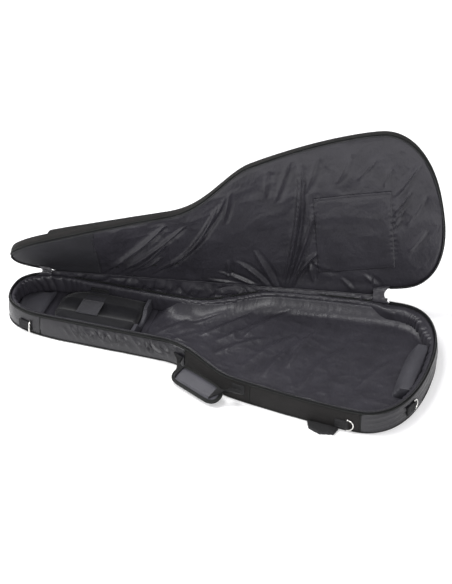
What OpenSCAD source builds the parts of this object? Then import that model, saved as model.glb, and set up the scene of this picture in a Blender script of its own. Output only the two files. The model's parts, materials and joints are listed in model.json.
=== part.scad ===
// Padded gig bag, lying open on its back: a deep tray with a hinged, zipped lid.
// X runs from the head end to the tail end, +Z is up and -Y is the handle side.
// The origin is the centre of the flat base.

/* [Outline] */
// Length over all, head tip to tail
bag_length = 1090; // [1000:5:1150]
// Half width of the neck at the head
head_half = 92; // [86:1:100]
// Half width of the neck where it meets the shoulder
neck_half = 94; // [86:1:104]
// Half width at the top of the shoulder
shoulder_half = 145; // [140:1:150]
// Half width of the lower bout, the widest place
bout_half = 226; // [215:1:235]
// Length of the rounded head end
head_length = 130; // [120:5:140]
// Where the neck starts to widen, from the head tip
flare_start = 430; // [420:5:440]
// Where the shoulder is complete, from the head tip
flare_end = 640; // [630:5:650]
// Length of the rounded tail end
tail_length = 130; // [120:5:140]

/* [Tray] */
// Height of the tray from the floor to the zipper
tray_height = 66; // [62:1:74]
// Thickness of the padded floor
floor_thickness = 14; // [12:1:16]
// Thickness of the padded wall, with its lining
wall = 18; // [16:1:20]

/* [Lid] */
// Thickness of the lid's foam
lid_foam_thickness = 18; // [14:1:22]
// Angle of the lid above its closed position
lid_open = 91; // [90:1:100]
// Thickness of the accessory pocket on the body
body_pocket_depth = 20; // [12:1:26]
// Thickness of the music pocket on the neck
neck_pocket_depth = 16; // [10:1:20]

/* [Handle and rings] */
// Length of the handle's padded grip
grip_length = 134; // [120:2:140]
// Width of the handle's padded grip
grip_width = 42; // [36:1:44]
// Angle at which the handle droops towards the floor
handle_droop = 22; // [18:1:24]
// Inner radius of the D-rings
ring_radius = 15; // [12:0.5:16]
// Radius of the D-rings' wire
wire_radius = 1.8; // [1.4:0.1:2]

/* [Hidden] */
$fn = 32;

// Colours
cordura = [0.19, 0.18, 0.18];
nylon = [0.27, 0.26, 0.29];
foam = [0.55, 0.55, 0.57];
lining = [0.24, 0.24, 0.26];
velour = [0.09, 0.09, 0.10];
webbing = [0.10, 0.10, 0.11];
trim = [0.11, 0.12, 0.11];
nickel = [0.80, 0.80, 0.78];

// Layers of the wall, counted inwards from the outline
skin = 2;
tape_in = 2.1;
tape_out = 3.3;
foam_in = 3.4;
lining_thickness = 2;
fit_gap = 0.5;

// Heights of the rim, from the floor
base_skin = 2.5;
foam_top = tray_height - 8;
lining_top = tray_height - 6;
skin_top = tray_height - 10;
binding_height = 4;
binding_out = 1.2;
piping_out = 1.8;
tape_top = tray_height - 2;
tape_reach = 20;
rim_gap = 0.6;
hinge_z = tray_height + rim_gap / 2;

// Heights of the closed lid
lid_base = tray_height + rim_gap;
lid_binding_z = lid_base + 6;
lid_lining_z = lid_base + 5.4;
lid_foam_z = lid_lining_z + lining_thickness;
lid_skin_z = lid_foam_z + lid_foam_thickness;
lid_top = lid_skin_z + skin;

// Curvature of the outline
head_power = 2.4;
tail_power = 2.3;
bout_power = 1.6;
tail_start = bag_length - tail_length;

// Zipper ends on the hinge side, from the head tip
zip_end_head = 62;
zip_head_angle = 62.7;
zip_end_tail = 915;
slider_half = 8;
hinge_from = 75;
hinge_to = 890;
hinge_offset = 3;

// Panels along the near side, from the head tip
head_cap_end = 110;
neck_panel_end = 500;
shoulder_panel_end = 690;
body_panel_end = 975;

// Cradle, strap and end block, from the head tip
cradle_from = 118;
cradle_to = 338;
cradle_top = 40;
channel_radius = 36;
rib_from = 341;
rib_to = 350;
rib_top = 48;
body_floor_from = 366;
strap_x = 211;
strap_width = 50;
strap_z = 42.2;
strap_thickness = 2.5;
strap_reach = 52;
strap_pad_width = 56;
strap_pad_length = 58;
strap_pad_overlap = 8;
strap_pad_thickness = 3;
end_block_from = 1012;
end_block_ridge = 1036;
end_block_to = 1066;
end_block_top = 52;
end_block_half = 92;

// Webbing tab under the near side, from the head tip
strap_tab_from = 842;
strap_tab_to = 924;
strap_tab_top = 8;

// Panel and patch on the lid's lining, from the head tip
head_panel_end = 212;
head_panel_thickness = 1.2;
patch_from = 765;
patch_length = 195;
patch_low = -62;
patch_width = 216;

// Handle, in its own frame: X along the wall, -Y away from it
handle_head_end = [482, -111.5];
handle_tail_end = [662, -204];
handle_z = 38;
handle_span = norm(handle_tail_end - handle_head_end);
grip_thickness = 18;
grip_near = 20;
webbing_width = 24;
webbing_thickness = 3;

// D-rings: distance from the head tip of each ring's bar
side_ring_x = 944;
side_ring_z = 20.5;
tail_ring_angle = 62;
tail_ring_z = 28;
head_ring_x = 84;
head_ring_z = 22;
head_ring_swing = 70;
loop_radius = 3.8;
loop_gap = 0.3;
tab_length = 30;

function clamped(t) = max(0, min(1, t));
function ease(t) = t * t * (3 - 2 * t);
function neck_at(x) = head_half + (neck_half - head_half) * (x - head_length) / (flare_end - head_length);
function bout_at(x) =
    shoulder_half + (bout_half - shoulder_half)
    * (1 - pow(1 - clamped((x - flare_start) / (tail_start - flare_start)), bout_power));
function flare_at(x) = ease(clamped((x - flare_start) / (flare_end - flare_start)));
function side_at(x) = neck_at(x) * (1 - flare_at(x)) + bout_at(x) * flare_at(x);
function head_point(a) = [
    head_length * (1 - pow(cos(a), 2 / head_power)),
    head_half * pow(sin(a), 2 / head_power),
];
function tail_point(a) = [
    tail_start + tail_length * pow(sin(a), 2 / tail_power),
    bout_half * pow(max(0, cos(a)), 2 / tail_power),
];

// Half of the outline, as distance from the head tip and half width
half_outline = concat(
    [for (a = [0 : 10 : 80]) head_point(a)],
    [for (x = [head_length : 66 : flare_start - 10]) [x, side_at(x)]],
    [for (x = [flare_start : 15 : flare_end]) [x, side_at(x)]],
    [for (x = [flare_end + 25 : 40 : tail_start - 20]) [x, side_at(x)]],
    [for (a = [0 : 7.5 : 82.5]) tail_point(a)],
    [[bag_length, 0]]
);
last = len(half_outline) - 1;
function run_at(i) =
    i == 0 ? [0, 1] : i == last ? [0, -1] : half_outline[i + 1] - half_outline[i - 1];
function inward(i) = [run_at(i)[1], -run_at(i)[0]] / norm(run_at(i));
function inset_half(d) = [for (i = [0 : last]) half_outline[i] + d * inward(i)];
function outline(d) = concat(
    [for (p = inset_half(d)) [p[0] - bag_length / 2, -p[1]]],
    [for (i = [last - 1 : -1 : 1]) [inset_half(d)[i][0] - bag_length / 2, inset_half(d)[i][1]]]
);

// The slanted line on which the lid turns, just outside the two places where the far rim sticks out most
touch_head = head_point(74);
touch_tail = [705, side_at(705)];
function side_line(x) =
    touch_head[1] + (touch_tail[1] - touch_head[1]) * (x - touch_head[0]) / (touch_tail[0] - touch_head[0])
    + hinge_offset;
hinge_start = [hinge_from - bag_length / 2, side_line(hinge_from)];
hinge_end = [hinge_to - bag_length / 2, side_line(hinge_to)];
hinge_run = hinge_end - hinge_start;
hinge_dir = [hinge_run[0], hinge_run[1], 0] / norm(hinge_run);

module slab(inset, z0, z1) {
    translate([0, 0, z0]) linear_extrude(z1 - z0) polygon(outline(inset));
}

module ring(from, to, z0, z1) {
    translate([0, 0, z0]) linear_extrude(z1 - z0) difference() {
        polygon(outline(from));
        polygon(outline(to));
    }
}

// Everything between two distances from the head tip, on the near side, the far side or both
module stretch(x0, x1, side = 0) {
    reach = bout_half + 40;
    y0 = side == 1 ? 0 : -reach;
    y1 = side == -1 ? 0 : reach;
    translate([x0 - bag_length / 2, y0, -1]) cube([x1 - x0, y1 - y0, 200]);
}

module part_of_ring(from, to, z0, z1, x0, x1, side = 0) {
    intersection() {
        ring(from, to, z0, z1);
        stretch(x0, x1, side);
    }
}

module on_lid() {
    translate([hinge_start[0], hinge_start[1], hinge_z])
        rotate(a = -lid_open, v = hinge_dir)
            translate([-hinge_start[0], -hinge_start[1], -hinge_z]) children();
}

// ---- Tray ----

module base_panel() {
    color(cordura) slab(0, 0, base_skin);
}

module base_foam() {
    color(foam) slab(foam_in, base_skin, floor_thickness);
}

module floor_lining() {
    color(lining) intersection() {
        slab(wall + fit_gap, floor_thickness, floor_thickness + 3);
        stretch(body_floor_from, end_block_from - 2);
    }
}

module head_floor_pad() {
    color(nylon) intersection() {
        slab(wall + fit_gap, floor_thickness, floor_thickness + 7);
        stretch(0, 98);
    }
}

module channel(radius, x0, x1) {
    translate([x0 - bag_length / 2, 0, tray_height]) rotate([0, 90, 0])
        cylinder(r = radius, h = x1 - x0, $fn = 64);
}

module neck_cradle() {
    half = side_at(cradle_from + 60) - wall - fit_gap;
    color(velour) difference() {
        intersection() {
            slab(wall + fit_gap, floor_thickness, cradle_top);
            union() {
                translate([cradle_from + half - bag_length / 2, 0, 0])
                    cylinder(r = half, h = tray_height, $fn = 96);
                stretch(cradle_from + half, cradle_to);
            }
        }
        channel(channel_radius, cradle_from - 1, cradle_to + 1);
    }
}

module cradle_rib() {
    color(nylon) difference() {
        intersection() {
            slab(wall + fit_gap, floor_thickness, rib_top);
            stretch(rib_from, rib_to);
        }
        channel(channel_radius + 4, rib_from - 1, rib_to + 1);
    }
}

module end_block() {
    color(nylon) intersection() {
        slab(wall + fit_gap, floor_thickness, end_block_top);
        translate([-bag_length / 2, end_block_half, 0]) rotate([90, 0, 0])
            linear_extrude(2 * end_block_half) polygon([
                [end_block_from, floor_thickness],
                [end_block_to, floor_thickness],
                [end_block_to, end_block_top],
                [end_block_ridge, end_block_top],
            ]);
    }
}

module wall_foam(x0, x1, side = 0) {
    color(foam) part_of_ring(foam_in, wall - lining_thickness, floor_thickness, foam_top, x0, x1, side);
}

module side_panel(x0, x1, side = 0) {
    color(x1 == shoulder_panel_end || x1 == body_panel_end ? cordura : nylon)
        part_of_ring(0, skin, base_skin, skin_top, x0, x1, side);
}

module wall_lining() {
    color(lining) {
        ring(wall - lining_thickness, wall, floor_thickness, lining_top);
        ring(foam_in, wall - lining_thickness, foam_top, lining_top);
    }
}

module tray_binding() {
    color(trim) ring(-binding_out, skin, skin_top, skin_top + binding_height);
}

module tray_zip_tape() {
    color(trim) ring(tape_in, tape_out, tape_top - tape_reach, tape_top);
}

// The zipper runs round the head and the near side, from one end of the hinge to the other
module zip_row(z0, z1) {
    color(trim) difference() {
        ring(tape_in - 0.4, tape_out + 0.4, z0, z1);
        stretch(zip_end_head - slider_half - 4, zip_end_tail + slider_half + 4, 1);
    }
}

module tray_zip_teeth() {
    zip_row(tape_top, tray_height);
}

module bottom_piping() {
    color(trim) ring(-piping_out, -0.05, 1, 5);
}

// The web between a rim and the hinge line, where the waist draws in
module gusset(z0, z1) {
    color(nylon) difference() {
        translate([0, 0, z0]) linear_extrude(z1 - z0) polygon([
            [hinge_start[0], 40],
            [hinge_end[0], 40],
            [hinge_end[0], hinge_end[1] - 1.5],
            [hinge_start[0], hinge_start[1] - 1.5],
        ]);
        slab(-0.05, z0 - 1, z1 + 1);
    }
}

module tray_gusset() {
    gusset(tray_height - 4, tray_height - 1.6);
}

module wall_patch(x0, x1, thickness, z0, z1) {
    part_of_ring(-thickness, -0.05, z0, z1, x0, x1, -1);
}

module handle_anchors() {
    for (x = [handle_head_end[0], handle_tail_end[0]])
        color(webbing) wall_patch(x - 16, x + 16, 3, handle_z - 14, handle_z + 14);
}

// A place on the near side where a ring's bar stands: [x, y] and the direction of the wall
function near_place(p, q) =
    let (run = q - p)
    let (along = [run[0], -run[1]] / norm(run))
    [
        p[0] - bag_length / 2 + along[1] * (loop_radius + 0.2),
        -p[1] - along[0] * (loop_radius + 0.2),
        atan2(along[1], along[0]),
    ];
side_place = near_place([side_ring_x, side_at(side_ring_x)], [side_ring_x + 1, side_at(side_ring_x + 1)]);
tail_place = near_place(tail_point(tail_ring_angle), tail_point(tail_ring_angle + 0.5));
function head_at(x) = head_half * pow(1 - pow(1 - x / head_length, head_power), 1 / head_power);
head_place = near_place([head_ring_x, head_at(head_ring_x)], [head_ring_x + 1, head_at(head_ring_x + 1)]);

module at_place(place, z) {
    translate([place[0], place[1], z]) rotate([0, 0, place[2]]) children();
}

module ring_tab(place, z) {
    half = ring_radius - 3;
    intersection() {
        ring(-2.2, -0.05, z - half, z + half);
        at_place(place, z) translate([-tab_length - 3, -20, -half]) cube([tab_length, 40, 2 * half]);
    }
    at_place(place, z) difference() {
        translate([0, 0, -half]) cylinder(r = loop_radius, h = 2 * half);
        translate([0, 0, -half - 1]) cylinder(r = wire_radius + loop_gap, h = 2 * half + 2);
    }
}

module ring_tabs() {
    color(webbing) {
        ring_tab(side_place, side_ring_z);
        ring_tab(tail_place, tail_ring_z);
        ring_tab(head_place, head_ring_z);
    }
}

module d_ring() {
    color(nickel) {
        translate([0, 0, -ring_radius]) cylinder(r = wire_radius, h = 2 * ring_radius);
        rotate([90, 0, 0]) rotate([0, 0, -90]) rotate_extrude(angle = 180, $fn = 64)
            translate([ring_radius, 0]) circle(r = wire_radius, $fn = 16);
        for (end = [-1, 1])
            translate([0, 0, end * ring_radius]) sphere(r = wire_radius);
    }
}

module side_ring() {
    at_place(side_place, side_ring_z) d_ring();
}

module tail_ring() {
    at_place(tail_place, tail_ring_z) d_ring();
}

module head_ring() {
    at_place(head_place, head_ring_z) rotate([0, 0, -head_ring_swing]) d_ring();
}

// The sewn tab that sticks out from under the near side
module strap_tab() {
    wall_line = -side_at(strap_tab_to) - piping_out - 2;
    color(webbing) translate([-bag_length / 2, 0, 0]) linear_extrude(strap_tab_top) polygon([
        [strap_tab_from, wall_line + side_at(strap_tab_to) - side_at(strap_tab_from)],
        [strap_tab_to, wall_line],
        [strap_tab_to - 6, wall_line - 24],
        [strap_tab_to - 42, wall_line - 32],
        [strap_tab_from + 10, wall_line - 18],
    ]);
}

module neck_strap_anchor() {
    half = strap_width / 2;
    low = cradle_top + 0.6;
    color(webbing)
        part_of_ring(wall + 0.05, wall + 2, low, strap_z + 12, strap_x - half, strap_x + half, 1);
}

function strap_pivot_y() = side_at(strap_x) - wall - 4;

module neck_strap() {
    far = strap_pivot_y() - 1;
    color(webbing)
        translate([strap_x - bag_length / 2, far - strap_reach / 2, strap_z])
            cube([strap_width, strap_reach, strap_thickness], center = true);
}

// The wide end of the strap overlaps it from above
module neck_strap_pad() {
    near = strap_pivot_y() - 1 - strap_reach - strap_pad_length + strap_pad_overlap;
    low = strap_z + strap_thickness / 2;
    color(nylon)
        translate([strap_x - strap_pad_width / 2 - bag_length / 2, near, low])
            cube([strap_pad_width, strap_pad_length, strap_pad_thickness]);
}

// ---- Handle ----

module at_handle() {
    mid = (handle_head_end + handle_tail_end) / 2;
    run = handle_tail_end - handle_head_end;
    translate([mid[0] - bag_length / 2, mid[1], handle_z])
        rotate([0, 0, atan2(run[1], run[0])])
            rotate([handle_droop, 0, 0]) children();
}

module handle_grip() {
    edge = grip_thickness / 2;
    color(nylon) at_handle() hull() {
        for (x = [-1, 1], y = [grip_near + edge, grip_near + grip_width - edge])
            translate([x * (grip_length / 2 - edge), -y, 0]) sphere(r = edge, $fn = 24);
    }
}

module handle_webbing() {
    end = handle_span / 2;
    half = webbing_width / 2;
    grip_end = grip_length / 2 + 0.3;
    color(webbing) at_handle() for (side = [0, 1])
        mirror([side, 0, 0]) translate([0, 0, -webbing_thickness / 2])
            linear_extrude(webbing_thickness) polygon([
                [end + half, -1],
                [end - half, -1],
                [grip_end, -grip_near - 8],
                [grip_end, -grip_near - grip_width + 6],
            ]);
}

// ---- Zipper sliders ----

// Frame at a place on the far rim: X towards the closed part of the zipper, +Y away from the bag
function head_zip_place() =
    let (a = zip_head_angle)
    let (p = head_point(a))
    let (q = head_point(a - 0.5))
    let (run = (q - p) / norm(q - p))
    [p[0] - bag_length / 2 - run[1] * (tape_in + tape_out) / 2,
     p[1] + run[0] * (tape_in + tape_out) / 2, atan2(run[1], run[0])];
function tail_zip_place() =
    let (p = [zip_end_tail, side_at(zip_end_tail)])
    let (q = [zip_end_tail + 1, side_at(zip_end_tail + 1)])
    let (run = (q - p) / norm(q - p))
    [p[0] - bag_length / 2 + run[1] * (tape_in + tape_out) / 2,
     p[1] - run[0] * (tape_in + tape_out) / 2, atan2(run[1], run[0])];

module at_zip(place, flip) {
    translate([place[0], place[1], tray_height]) rotate([0, 0, place[2]]) mirror([0, flip, 0]) children();
}

pull_y = 7;
pin_radius = 1;
barrel_radius = 2.4;
pull_width = 9;
pull_neck = 4.8;
pull_reach = 28;
pull_thickness = 1.8;
ear_width = 1.4;
slider_plate = 1.6;
slider_low = -5;
slider_high = 4.4;

module zip_slider() {
    color(nickel) {
        translate([-slider_half, slider_plate, slider_low])
            cube([2 * slider_half, 2.8, slider_high - slider_low]);
        translate([-slider_half, -2 * slider_plate, slider_low])
            cube([2 * slider_half, slider_plate, slider_high - slider_low]);
        translate([-slider_half + 1, -1.7, 0.35]) cube([3, 3.4, 2]);
        for (side = [-1, 1])
            translate([side * 3.6 - ear_width / 2, 4.3, -1.6]) cube([ear_width, 4, 3.2]);
        translate([-4, pull_y, 0]) rotate([0, 90, 0]) cylinder(r = pin_radius, h = 8);
    }
}

module zip_pull() {
    color(nickel) translate([0, pull_y, 0]) difference() {
        union() {
            translate([-pull_neck / 2, 0, 0]) rotate([0, 90, 0]) cylinder(r = barrel_radius, h = pull_neck);
            translate([-pull_neck / 2, -pull_thickness / 2, -8]) cube([pull_neck, pull_thickness, 7]);
            translate([-pull_width / 2, -pull_thickness / 2, -pull_reach])
                cube([pull_width, pull_thickness, pull_reach - 7.5]);
        }
        translate([-5, 0, 0]) rotate([0, 90, 0]) cylinder(r = pin_radius + 0.4, h = 10);
    }
}

module zip_slider_head() {
    at_zip(head_zip_place(), 1) zip_slider();
}

module zip_pull_head() {
    at_zip(head_zip_place(), 1) zip_pull();
}

module zip_slider_tail() {
    at_zip(tail_zip_place(), 0) zip_slider();
}

module zip_pull_tail() {
    at_zip(tail_zip_place(), 0) zip_pull();
}

// ---- Lid, drawn closed and turned open by on_lid() ----

module lid_shell() {
    color(cordura) on_lid() {
        ring(0, skin, lid_binding_z + binding_height, lid_skin_z);
        slab(0, lid_skin_z, lid_top);
    }
}

module lid_foam() {
    color(foam) on_lid() slab(foam_in, lid_foam_z, lid_skin_z);
}

module lid_lining() {
    color(lining) on_lid() slab(foam_in, lid_lining_z, lid_foam_z);
}

module lid_head_panel() {
    color(nylon) on_lid() intersection() {
        slab(foam_in + 3, lid_lining_z - head_panel_thickness, lid_lining_z);
        stretch(0, head_panel_end);
    }
}

module lid_patch() {
    color(nylon) on_lid() translate([patch_from - bag_length / 2, patch_low, lid_lining_z - lining_thickness])
        cube([patch_length, patch_width, lining_thickness]);
}

module lid_binding() {
    color(trim) on_lid() ring(-binding_out, skin, lid_binding_z, lid_binding_z + binding_height);
}

module lid_zip_tape() {
    color(trim) on_lid() ring(tape_in, tape_out, lid_base + 2, lid_base + 2 + tape_reach);
}

module lid_zip_teeth() {
    on_lid() zip_row(lid_base, lid_base + 2);
}

module lid_gusset() {
    on_lid() gusset(lid_base + 2, lid_base + 4.4);
}

// ---- Pockets on the outside of the lid ----

neck_pocket_from = 112;
neck_pocket_length = 300;
neck_pocket_low = -76;
neck_pocket_width = 150;
body_pocket_from = 660;
body_pocket_inset = 32;
neck_flap_width = 62;
neck_flap_thickness = 2;
body_zip_from = 720;
body_zip_to = 985;
body_zip_y = -120;
body_slider_x = 740;
pocket_zip_width = 12;

module neck_pocket() {
    color(nylon) on_lid() translate([neck_pocket_from - bag_length / 2, neck_pocket_low, lid_top])
        cube([neck_pocket_length, neck_pocket_width, neck_pocket_depth]);
}

module neck_pocket_flap() {
    color(cordura) on_lid()
        translate([neck_pocket_from - bag_length / 2, neck_pocket_low, lid_top + neck_pocket_depth])
            cube([neck_pocket_length, neck_flap_width, neck_flap_thickness]);
}

module body_pocket() {
    color(cordura) on_lid() intersection() {
        slab(body_pocket_inset, lid_top, lid_top + body_pocket_depth);
        stretch(body_pocket_from, bag_length);
    }
}

module body_pocket_zip() {
    color(trim) on_lid()
        translate([
            body_zip_from - bag_length / 2, body_zip_y - pocket_zip_width / 2, lid_top + body_pocket_depth,
        ])
            cube([body_zip_to - body_zip_from, pocket_zip_width, 1.6]);
}

module body_slider_place() {
    on_lid() translate([body_slider_x - bag_length / 2, body_zip_y, lid_top + body_pocket_depth + 2])
        children();
}

module body_pocket_slider() {
    color(nickel) body_slider_place() {
        translate([-slider_half, -4.5, 0]) cube([2 * slider_half, 9, 2.8]);
        for (side = [-1, 1])
            translate([side * 3.6 - ear_width / 2, -1.6, 2.7]) cube([ear_width, 3.2, 3.6]);
        translate([-4, 0, 4.8]) rotate([0, 90, 0]) cylinder(r = pin_radius, h = 8);
    }
}

module body_pocket_pull() {
    color(nickel) body_slider_place() translate([0, 0, 4.8]) difference() {
        union() {
            translate([-pull_neck / 2, 0, 0]) rotate([0, 90, 0]) cylinder(r = 2, h = pull_neck);
            translate([-pull_neck / 2, 0.8, -pull_thickness / 2]) cube([pull_neck, 7.2, pull_thickness]);
            translate([-pull_width / 2, 7.5, -pull_thickness / 2])
                cube([pull_width, pull_reach - 7.5, pull_thickness]);
        }
        translate([-5, 0, 0]) rotate([0, 90, 0]) cylinder(r = pin_radius + 0.4, h = 10);
    }
}

base_panel();
base_foam();
floor_lining();
head_floor_pad();
neck_cradle();
cradle_rib();
end_block();
wall_foam(0, head_length);  // wall_foam_head
wall_foam(head_length, flare_start, -1);  // wall_foam_neck_near
wall_foam(head_length, flare_start, 1);  // wall_foam_neck_far
wall_foam(flare_start, flare_end, -1);  // wall_foam_shoulder_near
wall_foam(flare_start, flare_end, 1);  // wall_foam_shoulder_far
wall_foam(flare_end, tail_start, -1);  // wall_foam_body_near
wall_foam(flare_end, tail_start, 1);  // wall_foam_body_far
wall_foam(tail_start, bag_length);  // wall_foam_tail
side_panel(0, head_cap_end);  // side_panel_head
side_panel(head_cap_end, neck_panel_end, -1);  // side_panel_neck_near
side_panel(neck_panel_end, shoulder_panel_end, -1);  // side_panel_shoulder_near
side_panel(shoulder_panel_end, body_panel_end, -1);  // side_panel_body_near
side_panel(body_panel_end, bag_length);  // side_panel_tail
side_panel(head_cap_end, body_panel_end, 1);  // side_panel_far
wall_lining();
tray_binding();
tray_zip_tape();
tray_zip_teeth();
bottom_piping();
tray_gusset();
handle_anchors();
ring_tabs();
strap_tab();
neck_strap_anchor();
handle_grip();
handle_webbing();
side_ring();
tail_ring();
head_ring();
neck_strap();
neck_strap_pad();
zip_slider_head();
zip_pull_head();
zip_slider_tail();
zip_pull_tail();
lid_shell();
lid_foam();
lid_lining();
lid_head_panel();
lid_patch();
lid_binding();
lid_zip_tape();
lid_zip_teeth();
lid_gusset();
neck_pocket();
neck_pocket_flap();
body_pocket();
body_pocket_zip();
body_pocket_slider();
body_pocket_pull();
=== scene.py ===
"""A padded gig bag lying open on its back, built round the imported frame.

Lengths in this file are millimetres, and add_piece() turns them into the frame's metres.
A place along the bag is given by its distance from the head tip.
"""

import json
import math

import bmesh
import bpy
import numpy as np
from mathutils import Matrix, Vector


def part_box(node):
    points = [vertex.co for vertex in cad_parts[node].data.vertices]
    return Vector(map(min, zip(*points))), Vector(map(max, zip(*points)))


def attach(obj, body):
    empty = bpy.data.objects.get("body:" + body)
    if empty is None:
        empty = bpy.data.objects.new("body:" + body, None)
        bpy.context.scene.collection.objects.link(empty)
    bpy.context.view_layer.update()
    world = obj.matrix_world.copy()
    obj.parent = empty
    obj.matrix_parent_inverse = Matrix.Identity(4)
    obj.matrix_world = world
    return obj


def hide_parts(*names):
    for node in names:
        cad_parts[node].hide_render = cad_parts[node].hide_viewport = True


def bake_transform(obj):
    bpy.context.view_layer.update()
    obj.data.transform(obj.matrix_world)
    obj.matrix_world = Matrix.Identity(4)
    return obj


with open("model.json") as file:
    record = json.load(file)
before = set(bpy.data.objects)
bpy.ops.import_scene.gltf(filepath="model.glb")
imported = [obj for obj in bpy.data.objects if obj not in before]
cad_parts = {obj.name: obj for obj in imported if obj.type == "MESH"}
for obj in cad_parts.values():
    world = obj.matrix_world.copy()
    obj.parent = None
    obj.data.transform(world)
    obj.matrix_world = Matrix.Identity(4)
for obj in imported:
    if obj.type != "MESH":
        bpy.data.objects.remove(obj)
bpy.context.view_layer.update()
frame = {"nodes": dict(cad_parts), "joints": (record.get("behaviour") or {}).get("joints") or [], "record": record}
MM = 0.001


def node_box(name):
    """Lowest and highest corner of a CAD node, in mm."""
    return np.array(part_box(name)) / MM


def joint(name):
    return next(j for j in frame["joints"] if j["name"] == name)


# ---------------------------------------------------------------- camera, light and floor

CAMERA_PLACE = (1.523, -4.749, 3.814)
CAMERA_YAW = 17.52
CAMERA_PITCH = 36.19
CAMERA_LENS = 200.3


def make_camera():
    camera = bpy.data.objects.new("camera", bpy.data.cameras.new("camera"))
    bpy.context.scene.collection.objects.link(camera)
    camera.location = CAMERA_PLACE
    camera.rotation_euler = (math.radians(90 - CAMERA_PITCH), 0, math.radians(CAMERA_YAW))
    camera.data.sensor_width = 36
    camera.data.sensor_fit = "HORIZONTAL"
    camera.data.lens = CAMERA_LENS
    bpy.context.scene.camera = camera


def area_light(name, place, target, size, power):
    data = bpy.data.lights.new(name, "AREA")
    data.shape = "RECTANGLE"
    data.size, data.size_y = size
    data.energy = power
    light = bpy.data.objects.new(name, data)
    bpy.context.scene.collection.objects.link(light)
    light.location = place
    light.rotation_euler = (Vector(target) - Vector(place)).to_track_quat("-Z", "Y").to_euler()


def make_light():
    area_light("softbox_top", (-0.9, 0.1, 3.0), (0, 0.15, 0.1), (1.6, 1.2), 62)
    area_light("softbox_left", (-3.0, -0.6, 2.2), (-0.1, 0.2, 0.15), (0.9, 1.6), 64)
    area_light("softbox_front", (2.2, -3.4, 2.6), (0.1, 0, 0.1), (2.2, 1.2), 105)
    world = bpy.data.worlds.new("studio")
    bpy.context.scene.world = world
    world.use_nodes = True
    world.node_tree.nodes["Background"].inputs["Color"].default_value = (0.98, 0.97, 1.0, 1)
    world.node_tree.nodes["Background"].inputs["Strength"].default_value = 0.6
    bpy.context.scene.view_settings.view_transform = "Standard"


def make_floor():
    half = 9
    mesh = bpy.data.meshes.new("studio_floor")
    mesh.from_pydata([(-half, -half, 0), (half, -half, 0), (half, half, 0), (-half, half, 0)], [],
                     [(0, 1, 2, 3)])
    floor = bpy.data.objects.new("studio_floor", mesh)
    bpy.context.scene.collection.objects.link(floor)
    material = bpy.data.materials.new("studio_floor")
    material.use_nodes = True
    shader = material.node_tree.nodes["Principled BSDF"]
    shader.inputs["Base Color"].default_value = (0.9, 0.9, 0.9, 1)
    shader.inputs["Roughness"].default_value = 0.9
    shader.inputs["Specular IOR Level"].default_value = 0.1
    shader.inputs["Emission Color"].default_value = (1, 1, 1, 1)
    shader.inputs["Emission Strength"].default_value = 0.18
    mesh.materials.append(material)
    floor.location.z = -0.0005


# ---------------------------------------------------------------- materials


class Nodes:
    """Short names for building one material's nodes."""

    def __init__(self, name):
        self.material = bpy.data.materials.new(name)
        self.material.use_nodes = True
        self.tree = self.material.node_tree
        self.shader = self.tree.nodes["Principled BSDF"]
        attribute = self.add("ShaderNodeAttribute")
        attribute.attribute_name = "cloth"
        self.cloth = attribute.outputs["Vector"]

    def add(self, kind, **inputs):
        node = self.tree.nodes.new(kind)
        for key, value in inputs.items():
            self.link(value, node.inputs[key.replace("_", " ")])
        return node

    def link(self, value, socket):
        if isinstance(value, bpy.types.NodeSocket):
            self.tree.links.new(value, socket)
        else:
            socket.default_value = value

    def math(self, operation, a, b=0.0):
        node = self.tree.nodes.new("ShaderNodeMath")
        node.operation = operation
        self.link(a, node.inputs[0])
        self.link(b, node.inputs[1])
        return node.outputs[0]

    def noise(self, scale, detail=3.0, roughness=0.55, stretch=(1, 1, 1)):
        mapping = self.add("ShaderNodeMapping", Vector=self.cloth, Scale=stretch)
        node = self.add("ShaderNodeTexNoise", Vector=mapping.outputs[0], Scale=scale, Detail=detail,
                        Roughness=roughness)
        return node.outputs["Fac"]

    def axes(self):
        node = self.add("ShaderNodeSeparateXYZ", Vector=self.cloth)
        return node.outputs[0], node.outputs[1]

    def wave(self, coordinate, pitch):
        return self.math("SINE", self.math("MULTIPLY", coordinate, 2 * math.pi / (pitch * MM)))

    def plain_weave(self, pitch):
        u, v = self.axes()
        return self.math("MULTIPLY", self.wave(u, pitch), self.wave(v, pitch))

    def twill(self, pitch):
        u, v = self.axes()
        return self.wave(self.math("ADD", u, v), pitch)

    def ribs(self, pitch):
        u, v = self.axes()
        herring = self.math("MULTIPLY", self.math("PINGPONG", u, 4 * MM), 0.8)
        return self.wave(self.math("ADD", v, herring), pitch)

    def bump(self, height, depth, normal=None):
        node = self.add("ShaderNodeBump", Height=height, Distance=depth * MM, Strength=1.0)
        if normal is not None:
            self.tree.links.new(normal, node.inputs["Normal"])
        return node.outputs[0]

    def shades(self, factor, low, high, dark, light):
        ramp = self.tree.nodes.new("ShaderNodeValToRGB")
        ramp.color_ramp.elements[0].position = low
        ramp.color_ramp.elements[1].position = high
        ramp.color_ramp.elements[0].color = (*dark, 1)
        ramp.color_ramp.elements[1].color = (*light, 1)
        self.link(factor, ramp.inputs[0])
        return ramp.outputs[0]


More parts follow.
